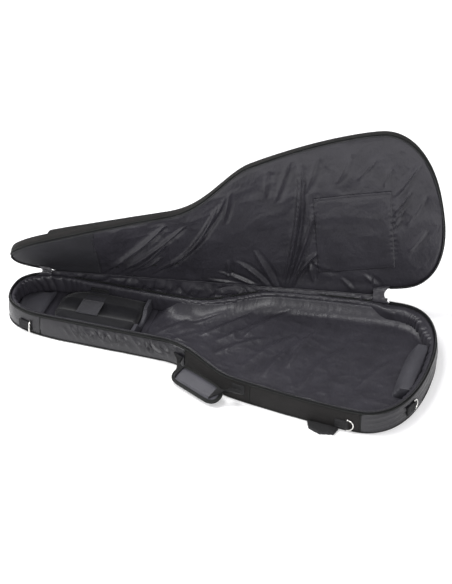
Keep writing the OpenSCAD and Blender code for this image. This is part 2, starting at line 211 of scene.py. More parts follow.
def fabric(name, dark, light, roughness, pattern, pitch, depth, crinkle=0.0, crinkle_size=12, sheen=0.0,
           gloss=0.5):
    """A woven cloth: two near colours in patches and threads, a raised weave and soft crinkles."""
    n = Nodes(name)
    threads = getattr(n, pattern)(pitch)
    patches = n.noise(1 / (60 * MM), detail=4)
    fibres = n.noise(1 / (1.2 * MM), detail=2)
    mixed = n.math("ADD", n.math("MULTIPLY", patches, 0.6), n.math("MULTIPLY", fibres, 0.25))
    mixed = n.math("ADD", mixed, n.math("MULTIPLY", threads, 0.09))
    n.link(n.shades(mixed, 0.25, 0.62, dark, light), n.shader.inputs["Base Color"])
    rough = n.math("ADD", n.math("MULTIPLY", n.noise(1 / (25 * MM)), 0.16), roughness - 0.08)
    n.link(rough, n.shader.inputs["Roughness"])
    normal = None
    if crinkle:
        soft = n.noise(1 / (crinkle_size * MM), detail=3, roughness=0.5, stretch=(1, 0.6, 1))
        ridges = n.math("ABSOLUTE", n.math("SUBTRACT", soft, 0.5))
        normal = n.bump(ridges, -crinkle)
    n.link(n.bump(threads, depth, normal), n.shader.inputs["Normal"])
    n.shader.inputs["Specular IOR Level"].default_value = gloss
    if sheen:
        n.shader.inputs["Sheen Weight"].default_value = sheen
        n.shader.inputs["Sheen Roughness"].default_value = 0.4
    return n.material


def pile(name, dark, light):
    """A short-napped velour."""
    n = Nodes(name)
    nap = n.noise(1 / (0.8 * MM), detail=3)
    brushed = n.noise(1 / (35 * MM), detail=3, stretch=(1, 2.2, 1))
    mixed = n.math("ADD", n.math("MULTIPLY", nap, 0.4), n.math("MULTIPLY", brushed, 0.6))
    n.link(n.shades(mixed, 0.3, 0.7, dark, light), n.shader.inputs["Base Color"])
    n.link(n.bump(nap, 0.35), n.shader.inputs["Normal"])
    n.shader.inputs["Roughness"].default_value = 0.95
    n.shader.inputs["Specular IOR Level"].default_value = 0.15
    n.shader.inputs["Sheen Weight"].default_value = 0.12
    n.shader.inputs["Sheen Roughness"].default_value = 0.5
    return n.material


def metal(name, dark, light, roughness):
    """Plated metal with faint rubbing."""
    n = Nodes(name)
    coordinates = n.add("ShaderNodeTexCoord").outputs["Object"]
    rub = n.add("ShaderNodeTexNoise", Vector=coordinates, Scale=160.0, Detail=4.0).outputs["Fac"]
    n.link(n.shades(rub, 0.35, 0.65, dark, light), n.shader.inputs["Base Color"])
    n.link(n.math("ADD", n.math("MULTIPLY", rub, 0.12), roughness - 0.06), n.shader.inputs["Roughness"])
    n.link(n.bump(rub, 0.03), n.shader.inputs["Normal"])
    n.shader.inputs["Metallic"].default_value = 1.0
    return n.material


def nylon_coil(name):
    n = Nodes(name)
    grain = n.noise(1 / (1.5 * MM))
    n.link(n.shades(grain, 0.3, 0.7, (0.006, 0.006, 0.007), (0.016, 0.016, 0.018)),
           n.shader.inputs["Base Color"])
    n.link(n.bump(grain, 0.05), n.shader.inputs["Normal"])
    n.shader.inputs["Roughness"].default_value = 0.38
    return n.material


MATERIALS = {
    "cordura": fabric("cordura", (0.0070, 0.0063, 0.0061), (0.0165, 0.0150, 0.0146), 0.82, "plain_weave", 1.3,
                      0.22, gloss=0.3),
    "sheen_nylon": fabric(
        "sheen_nylon", (0.024, 0.0235, 0.030), (0.044, 0.043, 0.054), 0.5, "plain_weave", 0.9, 0.05, 0.5, 14),
    "lining": fabric(
        "lining", (0.0195, 0.0185, 0.0230), (0.0345, 0.0328, 0.0405), 0.36, "plain_weave", 0.7, 0.02, 1.8, 18,
        gloss=0.43),
    # a darker copy of sheen_nylon for the head, neck and tail side panels: painted shade, since they are the same
    # cloth as the lighter handle
    "shaded_side_nylon": fabric(
        "shaded_side_nylon", (0.0062, 0.0057, 0.0078), (0.0120, 0.0112, 0.0150), 0.36, "plain_weave", 0.8, 0.03, 1.4,
        13, gloss=0.55),
    "matte_lining": fabric(
        "matte_lining", (0.0145, 0.0142, 0.0172), (0.0245, 0.0240, 0.0290), 0.72, "plain_weave", 0.9, 0.06,
        0.3, 26, gloss=0.35),
    "padding": fabric(
        "padding", (0.024, 0.0235, 0.0290), (0.041, 0.040, 0.049), 0.6, "plain_weave", 0.9, 0.06, 0.5, 16),
    "velour": pile("velour", (0.0035, 0.0035, 0.0045), (0.009, 0.009, 0.011)),
    "webbing": fabric("webbing", (0.006, 0.006, 0.0065), (0.016, 0.016, 0.017), 0.7, "ribs", 1.6, 0.3,
                      gloss=0.35),
    "strap_patch": fabric(
        "strap_patch", (0.023, 0.0225, 0.027), (0.042, 0.0415, 0.049), 0.85, "twill", 1.1, 0.2, gloss=0.3,
        sheen=0.1),
    "binding": fabric("binding", (0.007, 0.008, 0.007), (0.016, 0.017, 0.016), 0.75, "ribs", 1.2, 0.2,
                      gloss=0.3),
    "zip_tape": fabric("zip_tape", (0.008, 0.008, 0.009), (0.018, 0.018, 0.020), 0.7, "twill", 1.0, 0.12,
                       gloss=0.3),
    "zip_teeth": nylon_coil("zip_teeth"),
    "zip_metal": metal("zip_metal", (0.10, 0.10, 0.10), (0.22, 0.22, 0.21), 0.34),
    "nickel": metal("nickel", (0.62, 0.61, 0.58), (0.82, 0.81, 0.78), 0.22),
    "pocket_cloth": fabric(
        "pocket_cloth", (0.016, 0.018, 0.016), (0.034, 0.037, 0.034), 0.7, "plain_weave", 1.1, 0.12, 0.4, 30,
        gloss=0.35),
    "thread": fabric("thread", (0.022, 0.022, 0.024), (0.06, 0.06, 0.065), 0.6, "twill", 0.5, 0.05),
}


# ---------------------------------------------------------------- outline of the bag

BASE_LOW, BASE_HIGH = node_box("base_panel")
LENGTH = BASE_HIGH[0] - BASE_LOW[0]
BOUT_HALF = BASE_HIGH[1]
HEAD_HALF = 92
NECK_HALF = 94
SHOULDER_HALF = 145
HEAD_LENGTH = 130
TAIL_LENGTH = 130
FLARE_START = 430
FLARE_END = 640
TAIL_START = LENGTH - TAIL_LENGTH
HEAD_POWER = 2.4
TAIL_POWER = 2.3
BOUT_POWER = 1.6


def ease(t):
    t = np.clip(t, 0, 1)
    return t * t * (3 - 2 * t)


def side_at(x):
    """Half width of the bag at a distance from the head tip, between its round ends."""
    neck = HEAD_HALF + (NECK_HALF - HEAD_HALF) * (x - HEAD_LENGTH) / (FLARE_END - HEAD_LENGTH)
    along = np.clip((x - FLARE_START) / (TAIL_START - FLARE_START), 0, 1)
    bout = SHOULDER_HALF + (BOUT_HALF - SHOULDER_HALF) * (1 - (1 - along) ** BOUT_POWER)
    flare = ease((x - FLARE_START) / (FLARE_END - FLARE_START))
    return neck * (1 - flare) + bout * flare


def near_half():
    """The near half of the outline, from the head tip to the tail tip, as distance from the head and y."""
    turn = np.radians(np.linspace(0, 90, 200))
    head = (HEAD_LENGTH * (1 - np.cos(turn) ** (2 / HEAD_POWER)),
            HEAD_HALF * np.sin(turn) ** (2 / HEAD_POWER))
    middle = np.arange(HEAD_LENGTH + 2, TAIL_START - 1, 2.0)
    tail = (
        TAIL_START + TAIL_LENGTH * np.sin(turn) ** (2 / TAIL_POWER),
        BOUT_HALF * np.clip(np.cos(turn), 0, 1) ** (2 / TAIL_POWER),
    )
    x = np.concatenate([head[0], middle, tail[0]])
    y = np.concatenate([head[1], side_at(middle), tail[1]])
    return np.stack([x, -y], axis=1)


def even_steps(points, step):
    """The same line with points at even steps, and their distances along it."""
    lengths = np.concatenate([[0], np.cumsum(np.linalg.norm(np.diff(points, axis=0), axis=1))])
    at = np.linspace(0, lengths[-1], int(round(lengths[-1] / step)) + 1)
    return np.stack([np.interp(at, lengths, points[:, k]) for k in range(points.shape[1])], axis=1), at


HALF, HALF_S = even_steps(near_half(), 2.0)
HALF_RUN = HALF_S[-1]
ROUND = 2 * HALF_RUN
LOOP = np.concatenate([HALF, HALF[-2::-1] * (1, -1)])
LOOP_S = np.concatenate([HALF_S, ROUND - HALF_S[-2::-1]])


def loop_normals():
    step = np.roll(LOOP[:-1], -2, axis=0) - np.roll(LOOP[:-1], 2, axis=0)
    kernel = np.ones(7) / 7
    smooth = [np.convolve(np.concatenate([c[-3:], c, c[:3]]), kernel, "valid") for c in step.T]
    normal = np.stack([smooth[1], -smooth[0]], axis=1)
    normal /= np.linalg.norm(normal, axis=1)[:, None]
    return np.concatenate([normal, normal[:1]])


LOOP_NORMAL = loop_normals()


def on_loop(s, inset, z):
    """Points at s along the outline, which runs from the head tip down the near side first, inset inwards."""
    s, inset, z = np.broadcast_arrays(np.asarray(s, float) % ROUND, inset, z)
    x, y, nx, ny = (np.interp(s, LOOP_S, c) for c in (*LOOP.T, *LOOP_NORMAL.T))
    return np.stack([x - nx * inset - LENGTH / 2, y - ny * inset, z], axis=-1)


def s_at(x, far=False):
    """Distance along the outline of the place at x from the head tip."""
    s = np.interp(x, HALF[:, 0], HALF_S)
    return ROUND - s if far else s


def x_at(s):
    return np.interp(np.asarray(s) % ROUND, LOOP_S, LOOP[:, 0])


def half_width(x, inset):
    """Half width of the outline pulled in by inset, at distances x from the head tip."""
    edge = on_loop(HALF_S, inset, 0)
    return np.interp(x, edge[:, 0] + LENGTH / 2, -edge[:, 1])


def columns(inset, x_from, x_to, step):
    """Distances from the head tip for a grid's columns, closer together where the outline turns across."""
    edge = on_loop(HALF_S, inset, 0)
    x = edge[:, 0] + LENGTH / 2
    x_from, x_to = max(x_from, x[0] + 0.4), min(x_to, x[-1] - 0.4)
    s_from, s_to = np.interp([x_from, x_to], x, HALF_S)
    return np.interp(np.linspace(s_from, s_to, int((s_to - s_from) / step) + 1), HALF_S, x)


def bag_points(x, y, z):
    """Points of the bag, x being distances from the head tip."""
    return np.stack(np.broadcast_arrays(x - LENGTH / 2, y, z), axis=-1)


def both_faces(u, v):
    """The weave's coordinates for a slab: the same on its two faces."""
    return np.tile(np.column_stack([u.ravel(), v.ravel()]), (2, 1))


# ---------------------------------------------------------------- noise and folds


def soft_noise(u, v, size, seed):
    """Smooth noise from -1 to 1 whose hills are about size wide."""
    table = np.random.default_rng(seed).uniform(-1, 1, (64, 64))
    u, v = np.asarray(u) / size + 7.3, np.asarray(v) / size + 3.1
    i, j = np.floor(u).astype(int), np.floor(v).astype(int)
    a, b = ease(u - i), ease(v - j)
    corner = lambda di, dj: table[(i + di) % 64, (j + dj) % 64]
    low = corner(0, 0) * (1 - a) + corner(1, 0) * a
    high = corner(0, 1) * (1 - a) + corner(1, 1) * a
    return low * (1 - b) + high * b


def crinkle(u, v, size, seed):
    """Sharp-crested creases between smooth facets, from 0 to 1."""
    warp = soft_noise(u, v, size * 1.7, seed + 1) * size * 0.5
    return (1 - np.abs(soft_noise(u + warp, v - warp, size, seed))) ** 2


def folds(u, v, table):
    """The summed height of folds, each (start, end, width, height, bow), with a valley on one side."""
    total = np.zeros(np.broadcast(u, v).shape)
    for start, end, width, height, bow in table:
        run = np.array(end, float) - start
        length = np.linalg.norm(run)
        along = ((u - start[0]) * run[0] + (v - start[1]) * run[1]) / length**2
        across = ((v - start[1]) * run[0] - (u - start[0]) * run[1]) / length
        inside = np.clip(along, 0, 1)
        across = across - bow * 4 * inside * (1 - inside)
        fade = np.sin(math.pi * inside) ** 0.6
        wide = width * (0.55 + 0.45 * fade)
        crest = np.exp(-np.abs(across / (0.62 * wide)) ** 1.3)
        valley = 0.55 * np.exp(-(((across - 1.4 * wide) / (0.8 * wide)) ** 2))
        total += height * fade * (crest - valley)
    return total


# ---------------------------------------------------------------- meshes


def grid_faces(rows, cols, close_rows=False, close_cols=False, start=0):
    """Quads of a grid of points in row-major order."""
    i = np.arange(rows if close_rows else rows - 1)
    j = np.arange(cols if close_cols else cols - 1)
    i, j = (a.ravel() for a in np.meshgrid(i, j, indexing="ij"))
    i2, j2 = (i + 1) % rows, (j + 1) % cols
    return np.stack([i * cols + j, i2 * cols + j, i2 * cols + j2, i * cols + j2], axis=1) + start


def closed_slab(top, bottom, close_rows=False):
    """Points and faces of the closed solid between two grids of the same shape."""
    rows, cols = top.shape[:2]
    points = np.concatenate([top.reshape(-1, 3), bottom.reshape(-1, 3)])
    count = rows * cols
    ids = np.arange(count).reshape(rows, cols)
    faces = [grid_faces(rows, cols, close_rows), grid_faces(rows, cols, close_rows, start=count)[:, ::-1]]
    rims = [ids[:, 0], ids[::-1, -1]]
    if close_rows:
        rims = [np.append(ids[:, 0], ids[0, 0]), np.append(ids[::-1, -1], ids[-1, -1])]
    else:
        rims += [ids[0, ::-1], ids[-1, :]]
    for rim in rims:
        a, b = rim[:-1], rim[1:]
        faces.append(np.stack([a, a + count, b + count, b], axis=1)[:, ::-1])
    return points, np.concatenate(faces)


def swept(path, section, closed=False, up=(0, 0, 1)):
    """A closed solid of section, points (across, up), carried along path."""
    path = np.asarray(path, float)
    if closed:
        run = np.roll(path, -1, axis=0) - np.roll(path, 1, axis=0)
    else:
        run = np.gradient(path, axis=0)
    run /= np.linalg.norm(run, axis=1)[:, None]
    across = np.cross(run, up)
    across /= np.linalg.norm(across, axis=1)[:, None]
    lift = np.cross(across, run)
    section = np.asarray(section, float)
    points = path[:, None] + section[None, :, :1] * across[:, None] + section[None, :, 1:] * lift[:, None]
    rows, cols = points.shape[:2]
    faces = grid_faces(rows, cols, closed, True).tolist()
    if not closed:
        faces += [list(range(cols))[::-1], list(range((rows - 1) * cols, rows * cols))]
    return points.reshape(-1, 3), faces


def circle(radius, sides=10, flat=1.0):
    turn = np.linspace(0, 2 * math.pi, sides, endpoint=False)
    return np.stack([radius * np.cos(turn), radius * flat * np.sin(turn)], axis=1)


def rounded_strip(width, thickness, sides=3):
    """Section of a flat strip with round edges."""
    turn = np.linspace(-math.pi / 2, math.pi / 2, sides + 2)
    r = thickness / 2
    right = np.stack([width / 2 - r + r * np.cos(turn), r * np.sin(turn)], axis=1)
    across = np.linspace(width / 2 - r, -width / 2 + r, 7)[1:-1]
    top = np.stack([across, np.full(len(across), r)], axis=1)
    return np.concatenate([right, top, -right, -top])


def spindles(centres, directions, length, radius):
    """Many small pointed rods, such as stitches or zipper teeth, as one mesh."""
    d = directions / np.linalg.norm(directions, axis=1)[:, None]
    a = np.cross(d, np.broadcast_to((0, 0, 1), d.shape))
    a /= np.maximum(np.linalg.norm(a, axis=1), 1e-9)[:, None]
    b = np.cross(a, d)
    ring = [a * radius, b * radius, -a * radius, -b * radius]
    corners = [-d * length / 2]
    corners += [r - d * length * 0.3 for r in ring] + [r + d * length * 0.3 for r in ring]
    corners += [d * length / 2]
    points = centres[:, None] + np.stack(corners, axis=1)
    faces = []
    for k in range(4):
        n = (k + 1) % 4
        faces += [(0, 1 + n, 1 + k, 1 + k), (1 + k, 1 + n, 5 + n, 5 + k), (9, 5 + k, 5 + n, 5 + n)]
    base = np.arange(len(centres))[:, None, None] * 10
    faces = (np.array(faces)[None] + base).reshape(-1, 4)
    return points.reshape(-1, 3), [list(dict.fromkeys(f)) for f in faces.tolist()]


def stitches(path, pitch=4.0, length=2.8, radius=0.45):
    """A row of stitches along a path."""
    path, at = even_steps(np.asarray(path, float), pitch)
    middle = (path[1:] + path[:-1]) / 2
    return spindles(middle, path[1:] - path[:-1], length, radius)


def join(*solids):
    """Several (points, faces) as one."""
    points, faces, start = [], [], 0
    for p, f in solids:
        points.append(p)
        faces += [[i + start for i in face] for face in (f.tolist() if isinstance(f, np.ndarray) else f)]
        start += len(p)
    return np.concatenate(points), faces


def add_piece(
    name, solid, slot, body=None, nodes=(), place=None, cloth=None, detail=0, material=None, outside=None,
    outside_layer=1,
):
    """Makes a piece of the bag from points and faces in mm. place moves the points; cloth gives the
    weave's own coordinates, the unmoved points if it is left out; nodes are the CAD nodes that the piece
    stands for; outside is the material of one layer of a slab, its second unless outside_layer is 0."""
    if name in frame["nodes"]:
        name += "_piece"
    points, faces = solid
    weave = points if cloth is None else cloth
    if weave.shape[1] == 2:
        weave = np.column_stack([weave, np.zeros(len(weave))])
    if place is not None:
        points = place(points)
    if body == "lid_cloth":
        points = stand(points)
    mesh = bpy.data.meshes.new(name)
    mesh.from_pydata((points * MM).tolist(), [], faces.tolist() if isinstance(faces, np.ndarray) else faces)
    attribute = mesh.attributes.new("cloth", "FLOAT_VECTOR", "POINT")
    attribute.data.foreach_set("vector", (weave * MM).astype(np.float32).ravel())
    mesh.shade_smooth()
    mesh.materials.append(MATERIALS[material or slot])
    if outside:
        mesh.materials.append(MATERIALS[outside])
        half = len(points) // 2
        outer = [all((v >= half) == bool(outside_layer) for v in face.vertices) for face in mesh.polygons]
        mesh.polygons.foreach_set("material_index", [int(is_outer) for is_outer in outer])
    piece = bpy.data.objects.new(name, mesh)
    bpy.context.scene.collection.objects.link(piece)
    if detail:
        smooth = piece.modifiers.new("smooth", "SUBSURF")
        smooth.levels = smooth.render_levels = detail
    tidy_faces(piece)
    if body == "lid_cloth":
        fold_with_lid(piece)
    elif body:
        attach(piece, body)
    if nodes:
        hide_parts(*nodes)
    return piece


def tidy_faces(piece):
    """Turns every face of a closed mesh outwards."""
    mesh = bmesh.new()
    mesh.from_mesh(piece.data)
    bmesh.ops.recalc_face_normals(mesh, faces=mesh.faces)
    mesh.to_mesh(piece.data)
    mesh.free()


# ---------------------------------------------------------------- the lid's own place

HINGE = joint("lid_hinge")
HINGE_START = np.array(HINGE["pos_m"]) / MM
HINGE_DIR = -np.array(HINGE["axis"])
LID_OPEN = math.radians(-HINGE["range_deg"][0])
HINGE_FROM = HINGE_START[0] + LENGTH / 2
HINGE_RUN = 827.6
HINGE_TO = HINGE_FROM + HINGE_RUN * HINGE_DIR[0]


def turned(points, axis, angle):
    points = np.asarray(points, float)
    along = np.outer(points @ axis, axis)
    return points * math.cos(angle) + np.cross(axis, points) * math.sin(angle) + along * (1 - math.cos(angle))


# the lid's cloth leans towards the head: where on its ease it is at the hinge's head end, and how far
# along the hinge it has the lid's whole angle
TWIST_START = 0.583
TWIST_RUN = 809
SHOULDER_DROOP = math.radians(1.8)


def open_lid(points):
    """Points of the closed lid, turned up stiffly to where the lid stands."""
    return HINGE_START + turned(points - HINGE_START, HINGE_DIR, -LID_OPEN)


def stand(points, share=1.0):
    """Points of the closed lid where its soft cloth stands: it leans over more and more towards the
    head. share is how much of the way up each point goes."""
    from_hinge = points - HINGE_START
    along = from_hinge @ HINGE_DIR
    angle = -LID_OPEN * ease(TWIST_START + (1 - TWIST_START) * along / TWIST_RUN)
    angle += SHOULDER_DROOP * np.exp(-(((along - 330) / 130) ** 2))
    angle = angle * share
    stem = np.outer(along, HINGE_DIR)
    arm = from_hinge - stem
    return HINGE_START + stem + arm * np.cos(angle)[:,
                                                    None] + np.cross(HINGE_DIR, arm) * np.sin(angle)[:, None]


def fold_with_lid(piece):
    """Bakes the piece's place into its mesh, each part of it as far as stand() turned it up; it is not attached to
    the lid and does not turn with it.
    """
    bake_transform(piece)


def hinge_y(x):
    """y of the hinge line at a distance from the head tip."""
    return HINGE_START[1] + (x - HINGE_FROM) * HINGE_DIR[1] / HINGE_DIR[0]


# ---------------------------------------------------------------- tray: outside

SKIN = 2.0
FLOOR_Z = node_box("floor_lining")[0][2]
SKIN_TOP = node_box("side_panel_tail")[1][2]
RIM_Z = node_box("tray_zip_teeth")[1][2]
PANEL_LOW = node_box("side_panel_tail")[0][2]
PANEL_HEIGHT = SKIN_TOP - PANEL_LOW
HEAD_CAP_END, NECK_END, SHOULDER_END, BODY_END = 110, 500, 690, 975


def puckers(s, z):
    """Slanting gathers in the neck's side, where its cloth was eased onto the piping."""
    x = x_at(s)
    strength = ease((x - 150) / 110) * (1 - ease((x - 466) / 24))
    slant = s + 0.8 * z + 9 * soft_noise(s, z, 55, 5)
    gather = np.abs(np.sin(math.pi * slant / 25 + 1.9 * soft_noise(s, z * 0.5, 26, 6)))
    height = np.exp(-(((z - 37) / 14) ** 2)) * (0.8 + 0.5 * soft_noise(s, z, 24, 7))
    crossing = 2.2 * crinkle(s, 1.4 * z, 22, 8)
    return 1.35 * strength * height * (3.0 - 9.0 * (1 - gather) ** 1.4 - crossing)


def tail_pleats(s, z):
    """Long shallow pleats round the tail corner."""
    u = (s - s_at(BODY_END)) / 100
    line = z - 8 * np.sin(u * 1.1) + 4 * soft_noise(s, z, 80, 9)
    pleat = np.abs(np.sin(math.pi * line / 14))
    return -ease(u * 3) * 2.4 * (1 - pleat) ** 1.2


def spread(s, z):
    """How far the near side of the neck leans out towards the floor."""
    x = x_at(s)
    near = (np.asarray(s) % ROUND) < HALF_RUN
    zone = ease((x - 60) / 120) * (1 - ease((x - 430) / 120)) * near
    return 7.0 * zone * (1 - np.clip((z - PANEL_LOW) / PANEL_HEIGHT, 0, 1)) ** 1.2


def slack(s, z, seed, depth=1.0):
    """Gentle hollows and crinkles of cloth over foam."""
    return depth * (1.1 * soft_noise(s, z, 60, seed) + 0.5 * soft_noise(s, z, 21, seed + 1))


def side_panel(name, slot, s_from, s_to, node, extra=None, seed=1, bulge=2.0, depth=1.0):
    s = np.linspace(s_from, s_to, int((s_to - s_from) / 2.2) + 2)
    z = PANEL_LOW + PANEL_HEIGHT * np.linspace(0, 1, 22)
    s, z = np.meshgrid(s, z, indexing="ij")
    height = (z - PANEL_LOW) / PANEL_HEIGHT
    swell = bulge * np.sin(math.pi * np.clip(height, 0, 1)) ** 0.8
    wander = slack(s, z, seed, depth) * np.sin(math.pi * height) ** 0.5
    inset = 0.1 - swell - wander - spread(s,
                                          z) + (extra(s, z) * np.sin(math.pi * height) ** 0.4 if extra else 0)
    seam = 1.6 * (np.exp(-(((s - s_from) / 3) ** 2)) + np.exp(-(((s - s_to) / 3) ** 2)))
    outer = on_loop(s, inset + seam, z)
    inner = on_loop(s, inset + seam + SKIN, z)
    cloth = both_faces(s, z)
    # the side panels take the darker copy of the sheen nylon, which is painted shade
    material = "shaded_side_nylon" if slot == "sheen_nylon" else None
    piece = add_piece(name, closed_slab(outer, inner), slot, "tray", [node], cloth=cloth, material=material)
    return piece


def make_side_panels():
    shoulder_flare = lambda s, z: -3.0 * np.exp(-(((x_at(s) - 520) / 60) ** 2))
    neck_shape = lambda s, z: puckers(s, z) - 3.0 * ease((x_at(s) - 330) / 140)
    head_far = s_at(HEAD_CAP_END, far=True) - ROUND
    side_panel("head_panel", "sheen_nylon", head_far, s_at(HEAD_CAP_END), "side_panel_head", seed=11)
    side_panel("neck_side_panel", "sheen_nylon", s_at(HEAD_CAP_END), s_at(NECK_END),
               "side_panel_neck_near", neck_shape, 21, bulge=3.0)
    side_panel("shoulder_side_panel", "cordura", s_at(NECK_END), s_at(SHOULDER_END),
               "side_panel_shoulder_near", shoulder_flare, 31, depth=0.5)
    side_panel("body_side_panel", "cordura", s_at(SHOULDER_END), s_at(BODY_END), "side_panel_body_near", None,
               41,
               depth=0.5)
    side_panel("tail_panel", "sheen_nylon", s_at(BODY_END), s_at(BODY_END, far=True), "side_panel_tail",
               tail_pleats, 51)
    side_panel("far_side_panel", "cordura", s_at(BODY_END, far=True), ROUND + head_far, "side_panel_far",
               None, 61,
               depth=0.7)


def make_base():
    x = columns(2, 0, LENGTH, 9)
    t = np.sin(np.linspace(-1, 1, 41) * math.pi / 2)
    x, t = np.meshgrid(x, t, indexing="ij")
    y = t * half_width(x, 2) - ease(-t) * 6 * ease((x - 60) / 120) * (1 - ease((x - 430) / 120))
    sag = 0.5 + 0.5 * soft_noise(x, y, 90, 71)
    bottom = bag_points(x, y, 0.3 * sag * (1 - t**8))
    top = bag_points(x, y, 3.0)
    cloth = both_faces(x, y)
    base = add_piece("base_cover", closed_slab(top, bottom), "cordura", "tray", ["base_panel", "base_foam"],
                     cloth=cloth)
    area = outline_area()


def outline_area():
    """Flat area of the bag's outline in square metres."""
    return 2 * np.trapz(half_width(HALF[:, 0], 2), HALF[:, 0]) * MM * MM


# ---------------------------------------------------------------- rims: binding, piping, zipper

TEETH_PITCH = 2.6
ZIP_END_HEAD = 62
ZIP_END_TAIL = 915


def loop_tube(name, inset, z, radius, slot, body, node):
    """A cord or binding all the way round the outline."""
    sides = 10
    s = np.arange(0, ROUND, 4.0)
    wobble = 0.25 * soft_noise(s, s * 0, 30, 81)
    lean = spread(s, z) if z < PANEL_LOW + 4 else 0
    path = on_loop(s, inset + wobble - lean, z + wobble)
    solid = swept(path, circle(radius, sides), closed=True)
    turn = np.linspace(0, 2 * math.pi * radius, sides, endpoint=False)
    cloth = np.column_stack([np.repeat(s, sides), np.tile(turn, len(s))])
    add_piece(name, solid, slot, body, [node] if node else [], cloth=cloth)


def zip_span():
    """The zipper's run along the outline, from its head end round the near side to its tail end."""
    return s_at(ZIP_END_HEAD, far=True) - ROUND + 12, s_at(ZIP_END_TAIL, far=True) - 12


def zip_tape(name, z_low, z_high, body, node):
    s_from, s_to = zip_span()
    s, z = np.meshgrid(np.arange(s_from, s_to, 3.0), np.linspace(z_low, z_high, 7), indexing="ij")
    ripple = 0.5 * soft_noise(s, z, 16, 91)
    outer, inner = on_loop(s, 2.2 + ripple, z), on_loop(s, 3.2 + ripple, z)
    cloth = both_faces(s, z)
    piece = add_piece(name, closed_slab(outer, inner), "zip_tape", body, [node], cloth=cloth)


def zip_teeth(name, z, body, node):
    s_from, s_to = zip_span()
    s = np.arange(s_from, s_to, TEETH_PITCH)
    centres = on_loop(s, 2.7, z)
    across = on_loop(s + 0.7, 4.7, z) - centres
    solid = spindles(centres, across, 4.2, 1.05)
    cord = swept(on_loop(np.arange(s_from, s_to, 5.0), 2.7, z), circle(0.7, 6))
    add_piece(name, join(solid, cord), "zip_teeth", body, [node])


def make_rims():
    loop_tube("tray_binding", 0.6, SKIN_TOP + 2, 2.1, "binding", "tray", "tray_binding")
    loop_tube("bottom_piping", -0.2, 3, 2.0, "binding", "tray", "bottom_piping")
    zip_tape("tray_zip_tape", SKIN_TOP - 4, RIM_Z - 1.4, "tray", "tray_zip_tape")
    zip_teeth("tray_zip_teeth", RIM_Z - 1, "tray", "tray_zip_teeth")


# ---------------------------------------------------------------- tray: inside

WALL = 18.0
FOAM_IN = 3.4


def gathers(s, z):
    """Pleats in the wall's lining, deep at the round ends and shallow along the sides."""
    x = x_at(s)
    ends = np.maximum(1 - ease((x - 60) / 120), ease((x - 960) / 70))
    waist = np.exp(-(((x - 520) / 90) ** 2))
    depth = 1.6 + 4.6 * ends + 1.6 * waist
    phase = s / 21 + 1.6 * soft_noise(s, z * 0.4, 50, 101) + 0.25 * np.sin(z / 14)
    pleat = np.abs(np.sin(math.pi * phase)) ** 0.7
    return depth * (pleat - 0.6) + 1.3 * soft_noise(s, z, 26, 102)


def tail_roll(s):
    """The wall's extra thickness round the tail's far corner, up to the end block."""
    y = on_loop(s, WALL, 0 * s)[..., 1]
    return 14.0 * ease((y - 96) / 45) * ease((x_at(s) - 870) / 70)


def make_wall_pad():
    """The padded wall: its lining over its foam, one closed ring with gathers on the inner face."""
    profile = np.array([
        (FOAM_IN, 15), (FOAM_IN, 30), (FOAM_IN, 50), (FOAM_IN + 0.4, 57), (6, 60.2), (9.5, 61.4), (13, 60.6),
        (16, 58), (17.4, 53), (18.2, 46), (18.8, 38), (19, 30), (18.8, 23), (18.2, 17), (16, FLOOR_Z + 0.4),
        (9, FLOOR_Z + 0.4),
    ])
    inner = np.array([0, 0, 0, 0, 0.15, 0.3, 0.6, 0.8, 1, 1, 1, 1, 0.8, 0.5, 0, 0])
    s = np.arange(0, ROUND - 1, 2.6)
    grid_s = np.repeat(s[:, None], len(profile), axis=1)
    z = np.broadcast_to(profile[:, 1], grid_s.shape)
    puff = (gathers(grid_s, z) + tail_roll(grid_s)) * inner
    rim = 1.3 * soft_noise(grid_s, z, 30, 103) * (inner > 0) * (inner < 0.7)
    points = on_loop(grid_s, profile[:, 0] + puff, z + rim)
    arc = np.concatenate([[0], np.cumsum(np.linalg.norm(np.diff(profile, axis=0), axis=1))])
    cloth = np.column_stack([grid_s.ravel(), np.tile(arc, len(s))])
    faces = grid_faces(len(s), len(profile), True, True)
    foams = [n for n in frame["nodes"] if n.startswith("wall_foam")]
    pad = add_piece("wall_pad", (points.reshape(-1, 3), faces), "lining", "tray", ["wall_lining", *foams],
                    cloth=cloth, detail=1)


FLOOR_FOLDS = [
    ((470, 40), (560, 118), 11, 4.5, -4),
    ((500, 0), (600, 128), 12, 5, -6),
    ((545, -10), (640, 130), 13, 4.5, -8),
    ((600, 10), (690, 160), 14, 5, 8),
    ((560, -60), (660, 40), 13, 3.5, 6),
    ((640, -90), (735, 70), 16, 4, 10),
    ((700, -110), (770, 90), 15, 4.5, 12),
    ((745, -60), (800, 150), 14, 5, 10),
    ((800, -130), (860, 60), 16, 3.5, 12),
    ((850, -40), (905, 130), 18, 3, 10),
    ((930, -90), (985, 40), 12, 3, 6),
    ((390, -30), (455, 50), 10, 3, 0),
    ((420, -60), (500, 20), 11, 3, 0),
]


